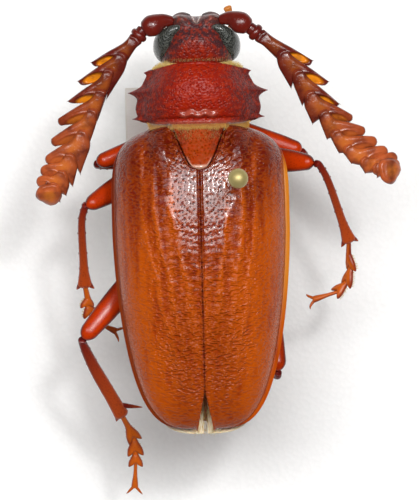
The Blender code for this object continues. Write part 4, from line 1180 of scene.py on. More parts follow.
@dataclass
class FrontThorax:
    """The pronotum and the underside of the front thorax, one horn shell with three teeth on each side.

    Attributes:
        teeth: share from the hind to the front margin, reach beyond the side, and width, of each tooth.
        widths: half widths of the body between the teeth, from the hind to the front margin.
        rises: height of the back over the side edge along the middle line, likewise.
        drops: depth of the underside, likewise.
        pit_depth: depth of the pits of the back.
    """

    teeth: Points = ((0.055, 0.52, 0.070), (0.565, 0.78, 0.165), (0.955, 0.32, 0.085))
    widths: tuple[float, ...] = (3.85, 4.10, 4.20, 4.12, 4.00, 3.88, 3.68, 3.45, 3.22)
    rises: tuple[float, ...] = (1.80, 2.15, 2.42, 2.60, 2.68, 2.66, 2.50, 2.20, 1.80)
    drops: tuple[float, ...] = (2.2, 2.85, 3.2, 3.4, 3.5, 3.45, 3.3, 3.0, 2.5)
    pit_depth: float = 0.022

    def build(self) -> bpy.types.Object:
        """Rows run from the hind to the front margin, and each ring goes over the back and returns below."""
        even = np.linspace(0, 1, 190)
        s = even[:, None]
        t = np.sin(np.linspace(np.pi / 2, -np.pi / 2, 150))[None, :] * 0.35
        t = t + 0.65 * np.linspace(1, -1, 150)[None, :]
        tables = (self.widths, self.rises, self.drops)
        body, rise, drop = (smooth_line(table, even)[:, None] for table in tables)
        thorn = sum(reach * np.clip(1 - np.abs(s - at) / wide, 0, 1) ** 2.1 for at, reach, wide in self.teeth)
        a = np.abs(t)
        x = (body + thorn * step(a, 0.78, 1.0)) * t
        away = np.abs(x)
        y = (8.40 + 0.28 * a**4) * (1 - s) + (12.62 - 0.50 * a**2) * s
        z = rise * (1 - a**2.4) - 0.10 * bell(a, 0.90, 0.07) + 0.05 * bell(a, 1.0, 0.05)
        behind = y - 9.13 + 0.08 * np.cos(x * 2.0 * np.pi / 0.95)
        ridge = np.exp(-((behind / 0.24) ** 4)) * step(away, 1.5, 0.9)
        groove = bell(y, 8.78, 0.12) * step(away, 3.4, 2.2)
        bead = step(y, 8.66, 8.54) * step(a, 1.0, 0.8)
        z = z + ridge * (0.10 - 0.74 * behind) - 0.10 * groove + 0.05 * bead
        z = z - 0.06 * step(s, 0.97, 1.0) + 0.05 * bell(s, 0.975, 0.012)
        z = z - 0.16 * bell(away, 2.9, 0.6) * bell(y, 11.3, 0.6)
        calm = (1 - 0.85 * np.maximum(ridge, bead)) * step(a, 1.0, 0.93)
        z = z - self.pit_depth * pits(x, y, 5.6, 31.0, 0.36) * calm
        z = z + 0.02 * value_noise(x * 1.2, y * 1.2, 12.0)
        below = drop * (1 - a**2.0) + 0.03 * value_noise(x * 2.0, y * 2.0, 15.0) * (1 - a)
        keel = 0.18 * bell(x, 0.0, 0.35) * step(s, 0.05, 0.5)
        hips = mounds(x, y, ((-1.45, 9.4, 0.95, 0.9, 1.1), (1.45, 9.4, 0.95, 0.9, 1.1)))
        upper = spread(x, y, SHOULDER_Z + z)
        lower = spread(x, y, SHOULDER_Z - 0.10 * (1 - a**8) - below - keel + hips)
        # The gloss mark adds clear coat and paints a pale highlight on the ridge and bead.
        gloss = np.clip(ridge + bead, 0, 1)
        patch = Patch.rings(out_and_back(upper, lower), {"gloss": out_and_back(gloss, 0 * gloss)})
        return patch.piece("front_thorax", THORAX_HORN, Slot.BODY, ("prothorax",))


@dataclass
class Head:
    """The short head: a rounded box with two antenna knobs and a V-shaped notch between them.

    Attributes:
        sections: Y, half width, top and bottom level of each section, from back to front.
    """

    sections: Points = (
        (12.35, 2.25, 29.70, 25.6), (12.75, 2.40, 30.02, 25.3), (13.3, 2.35, 30.25, 25.0),
        (13.9, 2.15, 30.32, 24.8), (14.5, 1.98, 30.16, 24.8), (15.05, 1.92, 29.86, 24.95),
        (15.45, 1.80, 29.50, 25.2), (15.68, 1.55, 28.90, 25.9),
    )

    def build(self) -> bpy.types.Object:
        """Rings run forward, each oval above and below its waist; knobs and notch are added to the height."""
        y, half, top, low = smooth_line(self.sections, np.linspace(0, 1, 130)).T[..., None]
        _, c, s = superellipse(200, 2.5)
        x = half * c
        away = np.abs(x)
        z = HEAD_WAIST_Z + s * np.where(s > 0, top - HEAD_WAIST_Z, HEAD_WAIST_Z - low)
        over = step(s, 0.25, 0.7)
        knobs = mounds(x, y, ((-1.12, 15.38, 0.52, 0.36, 1.0), (1.12, 15.38, 0.52, 0.36, 1.0)))
        notch = bell(x, 0.0, 0.26) * step(y, 14.9, 15.5)
        line = bell(x, 0.0, 0.06) * step(y, 13.2, 14.6)
        brim = bell(away - 0.62 * (y - 15.22), 0.0, 0.06) * step(y, 15.2, 15.35)
        saddle = bell(y, 14.72, 0.28) * step(away, 1.9, 0.3)
        relief = 0.46 * knobs - 0.30 * notch - 0.05 * line + 0.10 * brim - 0.14 * saddle
        relief = relief - 0.02 * pits(x, y, 6.0, 41.0, 0.34)
        grid = spread(x, y + (0.22 * knobs - 0.20 * notch) * over, z + relief * over)
        # The gloss mark adds clear coat and paints a pale highlight on the knobs and the V-shaped brim.
        marks = {"gloss": np.clip(0.1 * knobs + 0.9 * brim * step(away, 0.62, 0.5), 0, 1) * over}
        return Patch.rings(grid, marks).piece("head_capsule", HEAD_HORN, Slot.BODY, ("head",))


@dataclass
class Eye:
    """A large kidney-shaped faceted eye that reaches over the head, bent round the root of the antenna."""

    side: Side
    path: Points = (
        (0.95, 14.98, 29.62), (1.70, 14.62, 29.42), (2.08, 14.0, 28.8),
        (2.10, 13.5, 27.7), (1.95, 13.9, 26.4),
    )
    faces: Points = ((0.35, 0.1, 0.95), (0.6, 0.1, 0.8), (0.85, -0.1, 0.5), (1, -0.15, 0), (1, 0.1, -0.2))
    widths: Sequence[float] = (0.16, 0.42, 0.80, 0.92, 0.5)
    depths: Sequence[float] = (0.2, 0.44, 0.74, 0.80, 0.5)

    def build(self) -> bpy.types.Object:
        """Sweeps a wide oval along the bend, turning it to face outward all the way."""
        path, faces = self.side.flip * self.path, self.side.flip * self.faces
        swept = Sweep(path, self.widths, self.depths, faces, rows=80, sides=64, blunt=(0.10, 0.15))
        word = self.side.word
        return swept.patch().piece(f"faceted_eye_{word}", EYE_HORN, Slot.EYE, (f"eye_{word}",))


@dataclass
class Mouth:
    """Upper lip, jaws and the four jointed palps."""

    jaw: Points = ((1.25, 14.95, 24.4), (1.3, 15.5, 23.85), (0.95, 15.9, 23.2), (0.40, 16.0, 22.7))
    tooth: Points = ((1.0, 15.75, 23.4), (0.6, 15.7, 23.25))
    palps: tuple[tuple[str, Points], ...] = (
        ("maxillary_palp_right",
         ((1.75, 13.9, 24.1), (2.35, 14.9, 24.2), (2.35, 15.7, 24.7), (2.1, 16.42, 25.2))),
        ("maxillary_palp_left",
         ((-1.75, 13.9, 24.1), (-2.3, 14.7, 23.7), (-2.2, 15.4, 23.2), (-1.9, 15.9, 22.6))),
        ("labial_palp_right", ((0.5, 13.9, 23.95), (0.65, 14.4, 23.3), (0.55, 14.8, 22.6))),
        ("labial_palp_left", ((-0.5, 13.9, 23.95), (-0.6, 14.4, 23.3), (-0.5, 14.8, 22.6))),
    )

    def palp(self, name: str, points: Points) -> bpy.types.Object:
        """Each joint of a palp is a club that swells to its end; the last one is axe-shaped."""
        joints = 4 if name.startswith("max") else 3
        line = smooth_line(points, np.linspace(0, 1, joints + 1))
        clubs = []
        for k in range(joints):
            a, b = line[k], line[k + 1]
            wide = 0.30 if k == joints - 1 else 0.23
            path = [a - (b - a) * 0.12, a + (b - a) * 0.5, b]
            widths = (0.13, wide * 0.85, wide)
            club = Sweep(path, widths, (0.13, 0.18, 0.2), power=2.2, rows=24, sides=20, blunt=(0.1, 0.16))
            clubs.append(club.patch())
        return Patch.joined(clubs).piece(f"jointed_{name}", PALP_HORN, Slot.FOOT, (name,))

    def build(self) -> list[bpy.types.Object]:
        """Makes the lip, both jaws and the palps."""
        forward = (0, 1, 0)
        lip = ((0, 15.45, 25.05), (0, 15.55, 24.6), (0, 15.5, 24.05))
        swept = Sweep(lip, (0.78, 0.8, 0.5), (0.24, 0.27, 0.18), forward, 2.6, 30, 36, (0.1, 0.2))
        made = [swept.patch().piece("upper_lip", PALP_HORN, Slot.BODY, ("labrum",))]
        for side in Side:
            widths, depths = (0.45, 0.46, 0.34, 0.07), (0.52, 0.50, 0.32, 0.07)
            jaw = Sweep(side.flip * self.jaw, widths, depths, forward, 2.2, 44, 32, (0.06, 0.05))
            tooth = spike(side.flip * self.tooth, (0.2, 0.05), 14, 16, (0.08, 0.08))
            whole = Patch.joined([jaw.patch(), tooth])
            made.append(whole.piece(f"jaw_{side.word}", JAW_HORN, Slot.BODY, (f"mandible_{side.word}",)))
        return made + [self.palp(name, points) for name, points in self.palps]


# Antennae


@dataclass
class Feeler:
    """One antenna: club-shaped scape, ring-like pedicel, and ten overlapping, saw-toothed plates.

    Attributes:
        side: which side it is on.
        scape: middle line of the first segment.
        joints: plan of the joints after the pedicel.
        lobes: plan of each plate's outer lobe tip.
        teeth: plan of the inner corners, from the second plate on.
        root_z: height of the first joint.
        tip_z: height of the last one.
        thick: half thickness of a plate.
        hollows: how deep the hollow of each plate is, as a share of the deepest.
    """

    side: Side
    scape: Points
    joints: Points
    lobes: Points
    teeth: Points
    root_z: float = 29.3
    tip_z: float = 27.9
    thick: float = 0.30
    hollows: tuple[float, ...] = (1.0, 1.0, 0.9, 0.3, 0.15, 0.1, 0.0, 0.0, 0.0)

    def joint(self, k: int) -> Array:
        """A joint's place; the feeler sinks a little towards its end."""
        share = k / (len(self.joints) - 1)
        return np.array([*self.joints[k], self.root_z + (self.tip_z - self.root_z) * share**1.4])

    def outline(self, k: int, long: float, lobe: Array | None, inner: Array) -> Array:
        """Corners of a plate, as (along, outward) from its root joint.

        Args:
            k: the plate's number, from 0.
            long: distance to the next joint.
            lobe: the outer lobe's tip, or none for the last plate.
            inner: the inner corner's tip.

        Returns:
            The corners, in order round the plate.
        """
        wide = 0.47 if k == 0 else 0.36
        root = [(-0.20, wide), (-0.36, 0.0), (-0.20, -wide)]
        if lobe is None:
            turn = np.linspace(0, 2 * np.pi, 18, endpoint=False)
            swell = 1 + 0.07 * np.cos(3 * turn + 1.2) + 0.04 * np.cos(5 * turn)
            middle = np.array([0.35 * long - 0.28, 0.08])
            return middle + swell[:, None] * np.stack([0.80 * np.cos(turn), 0.88 * np.sin(turn)], -1)
        a, o = lobe
        on = a - long
        on_in, out_in = inner
        flank = [(on_in * 0.22, min(-0.40, out_in * 0.74)), (on_in * 0.6, min(-0.42, out_in * 0.88))]
        side = [*flank, (on_in, out_in), (on_in + 0.01, out_in + 0.03)]
        fat = min(max((k - 2) / 4, 0.0), 1.0)
        rim = [(long + 0.14, -0.22), (long + 0.47 * on + 0.12 * fat, 0.14 + 0.1 * fat)]
        back = min(0.42 * long, a - 0.55 - 0.22 * fat)
        if k < 3:
            tip = [(a - 0.03, o - 0.46), (a, o), (a - 0.02, o + 0.01)]
        else:
            radius = 0.27 + 0.15 * fat
            toward = unit(np.array([a - 0.4 * long, o - 0.05]))
            turn = np.radians([90.0, 45.0, 0.0, -45.0, -90.0])[:, None]
            off = np.array([toward[1], -toward[0]])
            tip = lobe - toward * radius + radius * (toward * np.cos(turn) + off * np.sin(turn))
        outer = [0.5 * (np.asarray(tip[-1]) + (back, 0.50)) + (0.0, 0.03), (back, 0.50)]
        return np.array([*root, *side, *rim, *tip, *outer])

    def plate(self, k: int) -> Patch:
        """One saw plate: a flat, round-edged leaf with a hollow near its outer lobe.

        Its outline is drawn in by r, from 1 at the rim to nothing in the middle, as the upper face rises by
        1.1 * thick * sqrt(1 - r ** 2.2) and the lower one sinks by thick * sqrt(1 - r ** 2). The hollow is an
        ellipse sunk into the upper face, with a raised brim.

        Args:
            k: the plate's number, from 0.

        Returns:
            The patch, marked with reach, cup for the hollow, and tooth for its darkened brim and points and
            for painted shade at its root.
        """
        start, end = self.joint(k), self.joint(k + 1)
        axis = unit(end - start)
        out = unit(np.cross(axis, UP))
        out = out * np.sign(out[0] * self.side.value)
        share = k / (len(self.joints) - 2)
        long = float(np.linalg.norm(end - start))

        def seen(spot: Sequence[float]) -> Array:
            """A place of the plan, as (along, outward) from the root joint."""
            away = np.array([*spot, start[2]]) - start
            return np.array([away @ axis, away @ out])

        lobe = seen(self.lobes[k]) if k < len(self.lobes) else None
        inner = seen(self.teeth[k - 1]) if 1 <= k < len(self.lobes) else np.array([long + 0.10, -0.50])
        corners = self.outline(k, long, lobe, inner)
        rim = smooth_line(np.vstack([corners, corners[:1]]), np.linspace(0, 1, 120, endpoint=False))
        middle = np.array([0.55 * long, 0.10])
        below, above = np.linspace(0.05, 1.0, 8), np.sqrt(np.linspace(1.0, 0.002, 30))
        r = np.concatenate([below, above[1:]])[:, None]
        upper = np.arange(len(r))[:, None] >= len(below) - 1
        plan = middle + (rim - middle)[None] * r[..., None]
        a, o = plan[..., 0], plan[..., 1]
        top, bottom = 1.1 * np.sqrt(np.clip(1 - r**2.2, 0, 1)), np.sqrt(np.clip(1 - r**2, 0, 1))
        z = self.thick * np.where(upper, top, -bottom)
        if lobe is not None:
            base = np.array([long, 0.25])
            centre = (lobe + base + (long + 0.47 * (lobe[0] - long), 0.14)) / 3 + (0.10, 0.05)
            way = unit(lobe - base)
            u = (a - centre[0]) * way[0] + (o - centre[1]) * way[1]
            v = (o - centre[1]) * way[0] - (a - centre[0]) * way[1]
            away = np.hypot(u / (0.40 * np.linalg.norm(lobe - base)), v / 0.31)
            cup = (1 - step(away, 0.62, 1.02)) * upper * self.hollows[k]
            z = z - 0.26 * cup + 0.05 * bell(away, 1.15, 0.14) * upper * step(r, 1.0, 0.8)
        else:
            cup = 0.45 * (1 - step(np.hypot((a - 0.05) / 0.50, (o - 0.08) / 0.60), 0.3, 1.0)) * upper
        grain = 0.008 * value_noise(a * 5 + 9 * k, o * 5, 3.0) * upper * (1 - r**4)
        z = z - 0.22 * (np.maximum(a / long, -0.4) - 0.6) + grain
        z = z + 0.07 * bell(r, 0.80, 0.10) * step(a, 0.7, -0.1) * upper
        points = start + axis * a[..., None] + out * o[..., None] + np.array(UP) * z[..., None]
        flank = 0.7 * step(-o, 0.10, 0.55) * step(a, -0.1, 0.9)
        # Painted shade: collar darkens the plate's root where the previous plate's rim overlaps it.
        collar = 0.65 * bell(a, 0.05, 0.22) * upper
        glow = (0.16 + 0.18 * share) * bell(a / long, 0.62, 0.42) * bell(o, 0.10, 0.42) * upper
        dark = np.clip(0.45 * step(r, 0.90, 1.0) + flank + collar, 0, 1) * (1 - cup)
        return Patch.rings(points, {"reach": share, "cup": np.maximum(cup, glow), "tooth": dark})

    def build(self) -> list[bpy.types.Object]:
        """Makes the scape with its pedicel, and the saw."""
        widths, depths = (0.30, 0.50, 0.74, 0.48), (0.30, 0.46, 0.62, 0.44)
        club = Sweep(self.scape, widths, depths, power=2.1, rows=60, sides=48, blunt=(0.06, 0.12)).patch()
        end, first = np.asarray(self.scape[-1], float), self.joint(0)
        way = first - end
        neck = Sweep([end - way * 0.2, first], (0.42, 0.42), (0.36, 0.36), rows=20, sides=28).patch()
        line = [end + way * place for place in (0.12, 0.42, 0.78)]
        collar = Sweep(line, (0.46, 0.59, 0.50), (0.40, 0.50, 0.44), rows=30, sides=40, blunt=(0.26, 0.22))
        ring = collar.patch().marked(reach=0.04, tooth=0.1)
        root = Patch.joined([club.marked(reach=0.0), neck.marked(reach=0.0, tooth=0.5), ring])
        saw = Patch.joined([self.plate(k) for k in range(len(self.joints) - 1)])
        word = self.side.word
        return [
            root.piece(f"feeler_{word}_root", FEELER_HORN, Slot.ANTENNA, (f"antenna_{word}_scape",)),
            saw.piece(f"feeler_{word}_saw", FEELER_HORN, Slot.ANTENNA, (f"antenna_{word}_flagellum",)),
        ]


FEELERS = (
    Feeler(
        Side.LEFT,
        ((-1.5, 15.35, 29.2), (-2.25, 15.36, 29.35), (-2.97, 15.05, 29.5), (-3.6, 14.74, 29.4)),
        ((-4.15, 14.1), (-5.03, 13.05), (-5.92, 12.0), (-6.49, 10.61), (-7.09, 9.35), (-7.76, 7.96),
         (-8.67, 6.4), (-9.23, 5.25), (-9.86, 4.45), (-10.02, 3.92), (-10.0, 3.42)),
        ((-7.11, 12.7), (-8.03, 11.47), (-8.74, 10.14), (-9.4, 8.67), (-9.88, 7.3), (-10.3, 6.11),
         (-10.68, 5.39), (-11.0, 4.75), (-10.8, 4.25)),
        ((-6.1, 10.26), (-6.73, 8.87), (-7.37, 7.41), (-7.73, 6.3), (-8.0, 5.28), (-8.53, 4.44), (-9.0, 3.83),
         (-9.43, 3.33)),
    ),
    Feeler(
        Side.RIGHT,
        ((1.5, 15.35, 29.2), (2.25, 15.42, 29.35), (2.97, 15.12, 29.5), (3.62, 14.72, 29.4)),
        ((4.35, 14.15), (5.72, 12.97), (6.72, 11.64), (7.51, 10.21), (8.41, 8.88), (9.15, 7.56), (9.97, 6.51),
         (11.07, 5.64), (11.85, 5.2), (12.78, 5.12), (13.33, 5.13)),
        ((7.75, 12.48), (8.79, 11.05), (9.48, 9.53), (10.31, 8.47), (11.16, 7.6), (11.96, 6.92), (12.68, 6.3),
         (13.35, 5.92), (13.5, 5.5)),
        ((6.23, 10.66), (6.95, 9.49), (7.62, 8.24), (8.57, 7.19), (9.36, 6.24), (10.18, 5.52), (11.1, 4.84),
         (11.89, 4.54)),
    ),
)


# Legs


# Outline of a foot segment: shares along it, and across in half widths
HEART = (
    (0.0, 0.26), (0.4, 0.62), (0.8, 0.95), (1.22, 0.98), (1.10, 0.45), (0.92, 0.0),
    (1.10, -0.45), (1.22, -0.98), (0.8, -0.95), (0.4, -0.62), (0.0, -0.26),
)


@dataclass(frozen=True)
class LegPath:
    """Where one leg lies.

    Attributes:
        pair: which pair it belongs to.
        side: which side it is on.
        femur: points from hip to knee.
        tibia: points from knee to ankle.
        foot: the foot's joints, on to its claws.
        roll: turn of the foot's upper face about its length, in degrees.
    """

    pair: Pair
    side: Side
    femur: Points
    tibia: Points
    foot: Points
    roll: float = 0.0


LEG_PATHS = (
    LegPath(Pair.FRONT, Side.LEFT, ((-2.0, 8.6, 24.4), (-4.3, 7.0, 24.9), (-6.95, 6.05, 25.5)),
            ((-6.75, 5.9, 24.6), (-5.1, 6.0, 23.7), (-3.0, 7.0, 22.2)),
            ((-2.5, 7.5, 21.8), (-2.2, 8.3, 21.5), (-1.95, 9.1, 21.25), (-1.7, 9.8, 21.05),
             (-1.3, 11.0, 20.7))),
    LegPath(Pair.FRONT, Side.RIGHT, ((2.0, 8.6, 24.2), (4.5, 7.42, 23.9), (6.95, 6.6, 24.1)),
            ((7.0, 6.3, 23.2), (5.3, 6.4, 22.4), (3.2, 7.2, 21.2)),
            ((2.75, 7.65, 20.9), (2.4, 8.4, 20.65), (2.15, 9.2, 20.45), (1.9, 9.9, 20.3),
             (1.45, 11.2, 20.0))),
    LegPath(Pair.MIDDLE, Side.LEFT, ((-2.5, 5.8, 23.65), (-5.0, 4.62, 24.7), (-7.72, 3.12, 25.9)),
            ((-7.8, 3.1, 25.6), (-8.07, 2.0, 25.1), (-8.05, -0.7, 23.4), (-8.02, -2.4, 22.35)),
            ((-7.85, -2.98, 21.95), (-7.91, -3.6, 21.7), (-7.73, -4.15, 21.4), (-7.25, -4.8, 21.2),
             (-5.95, -5.45, 20.9)), 25),
    LegPath(Pair.MIDDLE, Side.RIGHT, ((2.5, 6.1, 23.65), (5.1, 5.98, 25.0), (7.7, 5.7, 26.3)),
            ((8.1, 5.5, 26.0), (8.7, 4.35, 25.3), (9.55, 1.83, 23.6), (10.1, 0.25, 22.6)),
            ((9.97, -0.32, 22.2), (10.16, -1.4, 21.9), (9.86, -2.45, 21.6), (9.15, -3.1, 21.4),
             (7.5, -3.58, 21.1)), 60),
    LegPath(Pair.HIND, Side.LEFT, ((-3.3, -0.3, 24.0), (-5.6, -2.9, 24.9), (-8.15, -5.80, 25.6)),
            ((-8.2, -6.1, 25.1), (-7.5, -7.75, 23.9), (-6.4, -9.85, 22.4), (-5.65, -11.3, 21.3)),
            ((-5.4, -11.8, 20.85), (-4.95, -12.8, 20.3), (-4.88, -13.8, 19.9), (-4.89, -14.6, 19.6),
             (-5.0, -16.25, 19.0))),
    LegPath(Pair.HIND, Side.RIGHT, ((3.2, -0.4, 24.0), (4.38, -4.6, 24.3), (5.03, -8.3, 24.9)),
            ((4.85, -8.6, 24.2), (3.9, -7.6, 23.1), (2.6, -5.9, 21.4), (1.9, -4.9, 20.4)),
            ((1.5, -4.3, 19.95), (1.15, -3.6, 19.75), (0.8, -2.8, 19.45), (0.5, -2.1, 19.2),
             (0.05, -0.6, 18.75))),
)


@dataclass(frozen=True)
class LegSizes:
    """Sizes of a pair of legs.

    Attributes:
        thigh: half widths of the femur.
        shank: half widths of the tibia.
        spines: root and tip of each end spine, as (inward, beyond the end).
        hip: centre of the coxa.
        hip_radii: its radii.
    """

    thigh: tuple[float, ...]
    shank: tuple[float, ...]
    spines: tuple[tuple[tuple[float, float], tuple[float, float]], ...]
    hip: tuple[float, float, float]
    hip_radii: tuple[float, float, float]


LEG_SIZES = {
    Pair.FRONT: LegSizes(
        (0.42, 0.60, 0.64, 0.48), (0.26, 0.28, 0.32, 0.48),
        (((-0.28, -0.35), (-0.56, 0.1)), ((0.28, -0.35), (0.6, 0.1))),
        (1.45, 9.4, 24.75), (0.95, 0.85, 0.95),
    ),
    Pair.MIDDLE: LegSizes(
        (0.42, 0.80, 0.76, 0.46), (0.25, 0.25, 0.27, 0.32, 0.54),
        (((-0.28, -0.35), (-0.58, 0.1)), ((0.28, -0.35), (0.64, 0.08))),
        (1.95, 6.3, 24.4), (0.95, 0.85, 0.95),
    ),
    Pair.HIND: LegSizes(
        (0.45, 0.76, 0.74, 0.56), (0.26, 0.36, 0.43, 0.46, 0.53),
        (((-0.28, -0.35), (-0.54, 0.05)), ((0.3, -0.95), (1.5, 0.05))),
        (2.45, 0.45, 24.5), (1.9, 0.72, 0.8),
    ),
}


@dataclass
class Leg:
    """One leg: hip, flattened femur, spiny tibia, and a foot of heart-shaped segments with two claws."""

    path: LegPath

    @property
    def name(self) -> str:
        """The leg's name in the frame's nodes."""
        return f"leg_{self.path.pair.value}_{self.path.side.word}"

    @property
    def sizes(self) -> LegSizes:
        """The sizes of its pair."""
        return LEG_SIZES[self.path.pair]

    def hip(self) -> bpy.types.Object:
        """The coxa, a smooth stretched ball."""
        whole = ball(self.path.side.flip * self.sizes.hip, np.array(self.sizes.hip_radii), 40, 48)
        return whole.piece(f"{self.name}_hip", BELLY_HORN, Slot.LEG, (f"{self.name}_coxa",))

    def thigh(self) -> bpy.types.Object:
        """The femur with a groove along its upper face and a small collar at the hip."""
        swept = Sweep(self.path.femur, self.sizes.thigh, (0.36, 0.50, 0.44), UP, 2.3, 70, 44, (0.05, 0.09))
        patch = swept.patch(lambda s, a: 0.03 * np.cos(2 * a) * bell(s, 0.5, 0.3))
        root, bend, knee = (np.asarray(self.path.femur[k], float) for k in (0, -2, -1))
        way = unit(knee - bend)
        collar = Sweep([root - way * 0.35, root + way * 0.25], (0.34, 0.42), (0.34, 0.38), rows=20, sides=28)
        whole = Patch.joined([patch, collar.patch()])
        return whole.piece(f"{self.name}_thigh", THIGH_HORN, Slot.LEG, (f"{self.name}_femur",))

    def end_frame(self) -> tuple[Array, Array, Array]:
        """The tibia's end, its direction there, and the direction towards the body."""
        end = np.asarray(self.path.tibia[-1], float)
        axis = unit(end - np.asarray(self.path.tibia[-2], float))
        inward = unit(np.cross(axis, UP)) * self.path.side.value
        return end, axis, inward

    def shank(self) -> bpy.types.Object:
        """The tibia: slender at the knee, flared at its end, with end spines and rows of spinules."""
        knee = np.asarray(self.path.femur[-1], float)
        line = [knee + (np.asarray(self.path.tibia[0]) - knee) * 0.25, *self.path.tibia]
        widths = (self.sizes.shank[0], *self.sizes.shank)
        swept = Sweep(line, widths, (0.27, 0.27, 0.28, 0.32), UP, 2.4, 90, 36, (0.04, 0.05))
        pieces = [swept.patch(lambda s, a: -0.035 * np.sin(a) ** 2 * step(s, 0.3, 0.8))]
        end, axis, inward = self.end_frame()
        for ends in self.sizes.spines:
            root, tip = (end + inward * across + axis * beyond for across, beyond in ends)
            line = [root, root + (tip - root) * 0.5 + axis * 0.02, tip]
            spine = spike(line, (0.20, 0.14, 0.03), 26, 20, (0.06, 0.05))
            spine.marks["edge"] = step(spine.marks["along"], 0.1, 0.8)
            pieces.append(spine)
        line, tangent, across, _, shares = swept.frame()
        wide = smooth_line(widths, shares)
        for side in (-1, 1):
            for place in np.linspace(0.38, 0.92, 7):
                k = int(place * (len(line) - 1))
                root = line[k] + across[k] * side * wide[k] * 0.86
                tip = root + across[k] * side * 0.06 + tangent[k] * 0.12
                pieces.append(spike([root, tip], (0.07, 0.02), 8, 8, (0.08, 0.08)))
        return Patch.joined(pieces).piece(f"{self.name}_shank", SHANK_HORN, Slot.LEG, (f"{self.name}_tibia",))

    def foot(self) -> list[bpy.types.Object]:
        """The tarsus: three bilobed segments, a long claw segment, claws, and brushes of pad hair below."""
        joints = np.asarray(self.path.foot, float)
        roll = math.radians(self.path.roll) * self.path.side.value
        first, flat = unit(joints[1] - joints[0]), np.array(UP)
        turned = flat * math.cos(roll) + np.cross(first, flat) * math.sin(roll)
        up = turned + first * (first @ flat) * (1 - math.cos(roll))
        ankle, shin, _ = self.end_frame()
        pieces, roots, leans = [], [], []
        u, v = np.meshgrid(np.linspace(0.25, 1.05, 9), np.linspace(-0.85, 0.85, 10), indexing="ij")
        keep = (np.abs(v) < 0.35 + 0.7 * u) & (np.abs(v) > (u - 0.75) * 1.4)
        u, v = u[keep][:, None], v[keep][:, None]
        for start, end, half in zip(joints, joints[1:], (0.50, 0.56, 0.50)):
            along = end - start
            across = unit(np.cross(along, up))
            top = unit(np.cross(across, along))
            outline = [start + along * on + across * half * beside for on, beside in HEART]
            pieces.append(pebble(outline, start + along * 0.62, top, 0.25))
            root = start - along * 0.25 if pieces[1:] else ankle - shin * 0.25
            neck = [root, start + along * 0.25, start + along * 0.6]
            pieces.append(Sweep(neck, (0.16, 0.22, 0.26), (0.14, 0.18, 0.22), top, rows=22, sides=24).patch())
            roots.append(start + along * u + across * (half * v) - top * 0.12)
            leans.append(unit(along) * 0.5 - top + across * (v * 0.5))
        start, end = joints[3:]
        along = end - start
        axis = unit(along)
        across = unit(np.cross(axis, up))
        line = [start - along * 0.15, start + along * 0.4, start + along * 0.8, end]
        last = Sweep(line, (0.11, 0.14, 0.22, 0.24), (0.11, 0.14, 0.19, 0.2), up, rows=44, sides=28)
        pieces.append(last.patch())
        for sign in (-1, 1):
            bend = (end - axis * 0.1 + across * sign * 0.08, end + axis * 0.24 + across * sign * 0.36,
                    end + axis * 0.47 + across * sign * 0.56 - up * 0.18)
            pieces.append(spike(bend, (0.11, 0.08, 0.02), 28, 18, (0.08, 0.05)))
        roots, leans = np.vstack(roots), np.vstack(leans)
        lengths = 0.17 + 0.06 * lattice(np.arange(len(roots)), 3.0, 2.0)
        return [
            Patch.joined(pieces).piece(f"{self.name}_foot", FOOT_HORN, Slot.FOOT, (f"{self.name}_tarsus",)),
            Fringe(roots, leans, lengths, 0.035, 0.1, 3).piece(f"{self.name}_pads", FOOT_PAD, Slot.FOOT),
        ]

    def build(self) -> list[bpy.types.Object]:
        """Makes the whole leg."""
        return [self.hip(), self.thigh(), self.shank(), *self.foot()]


# Hind body


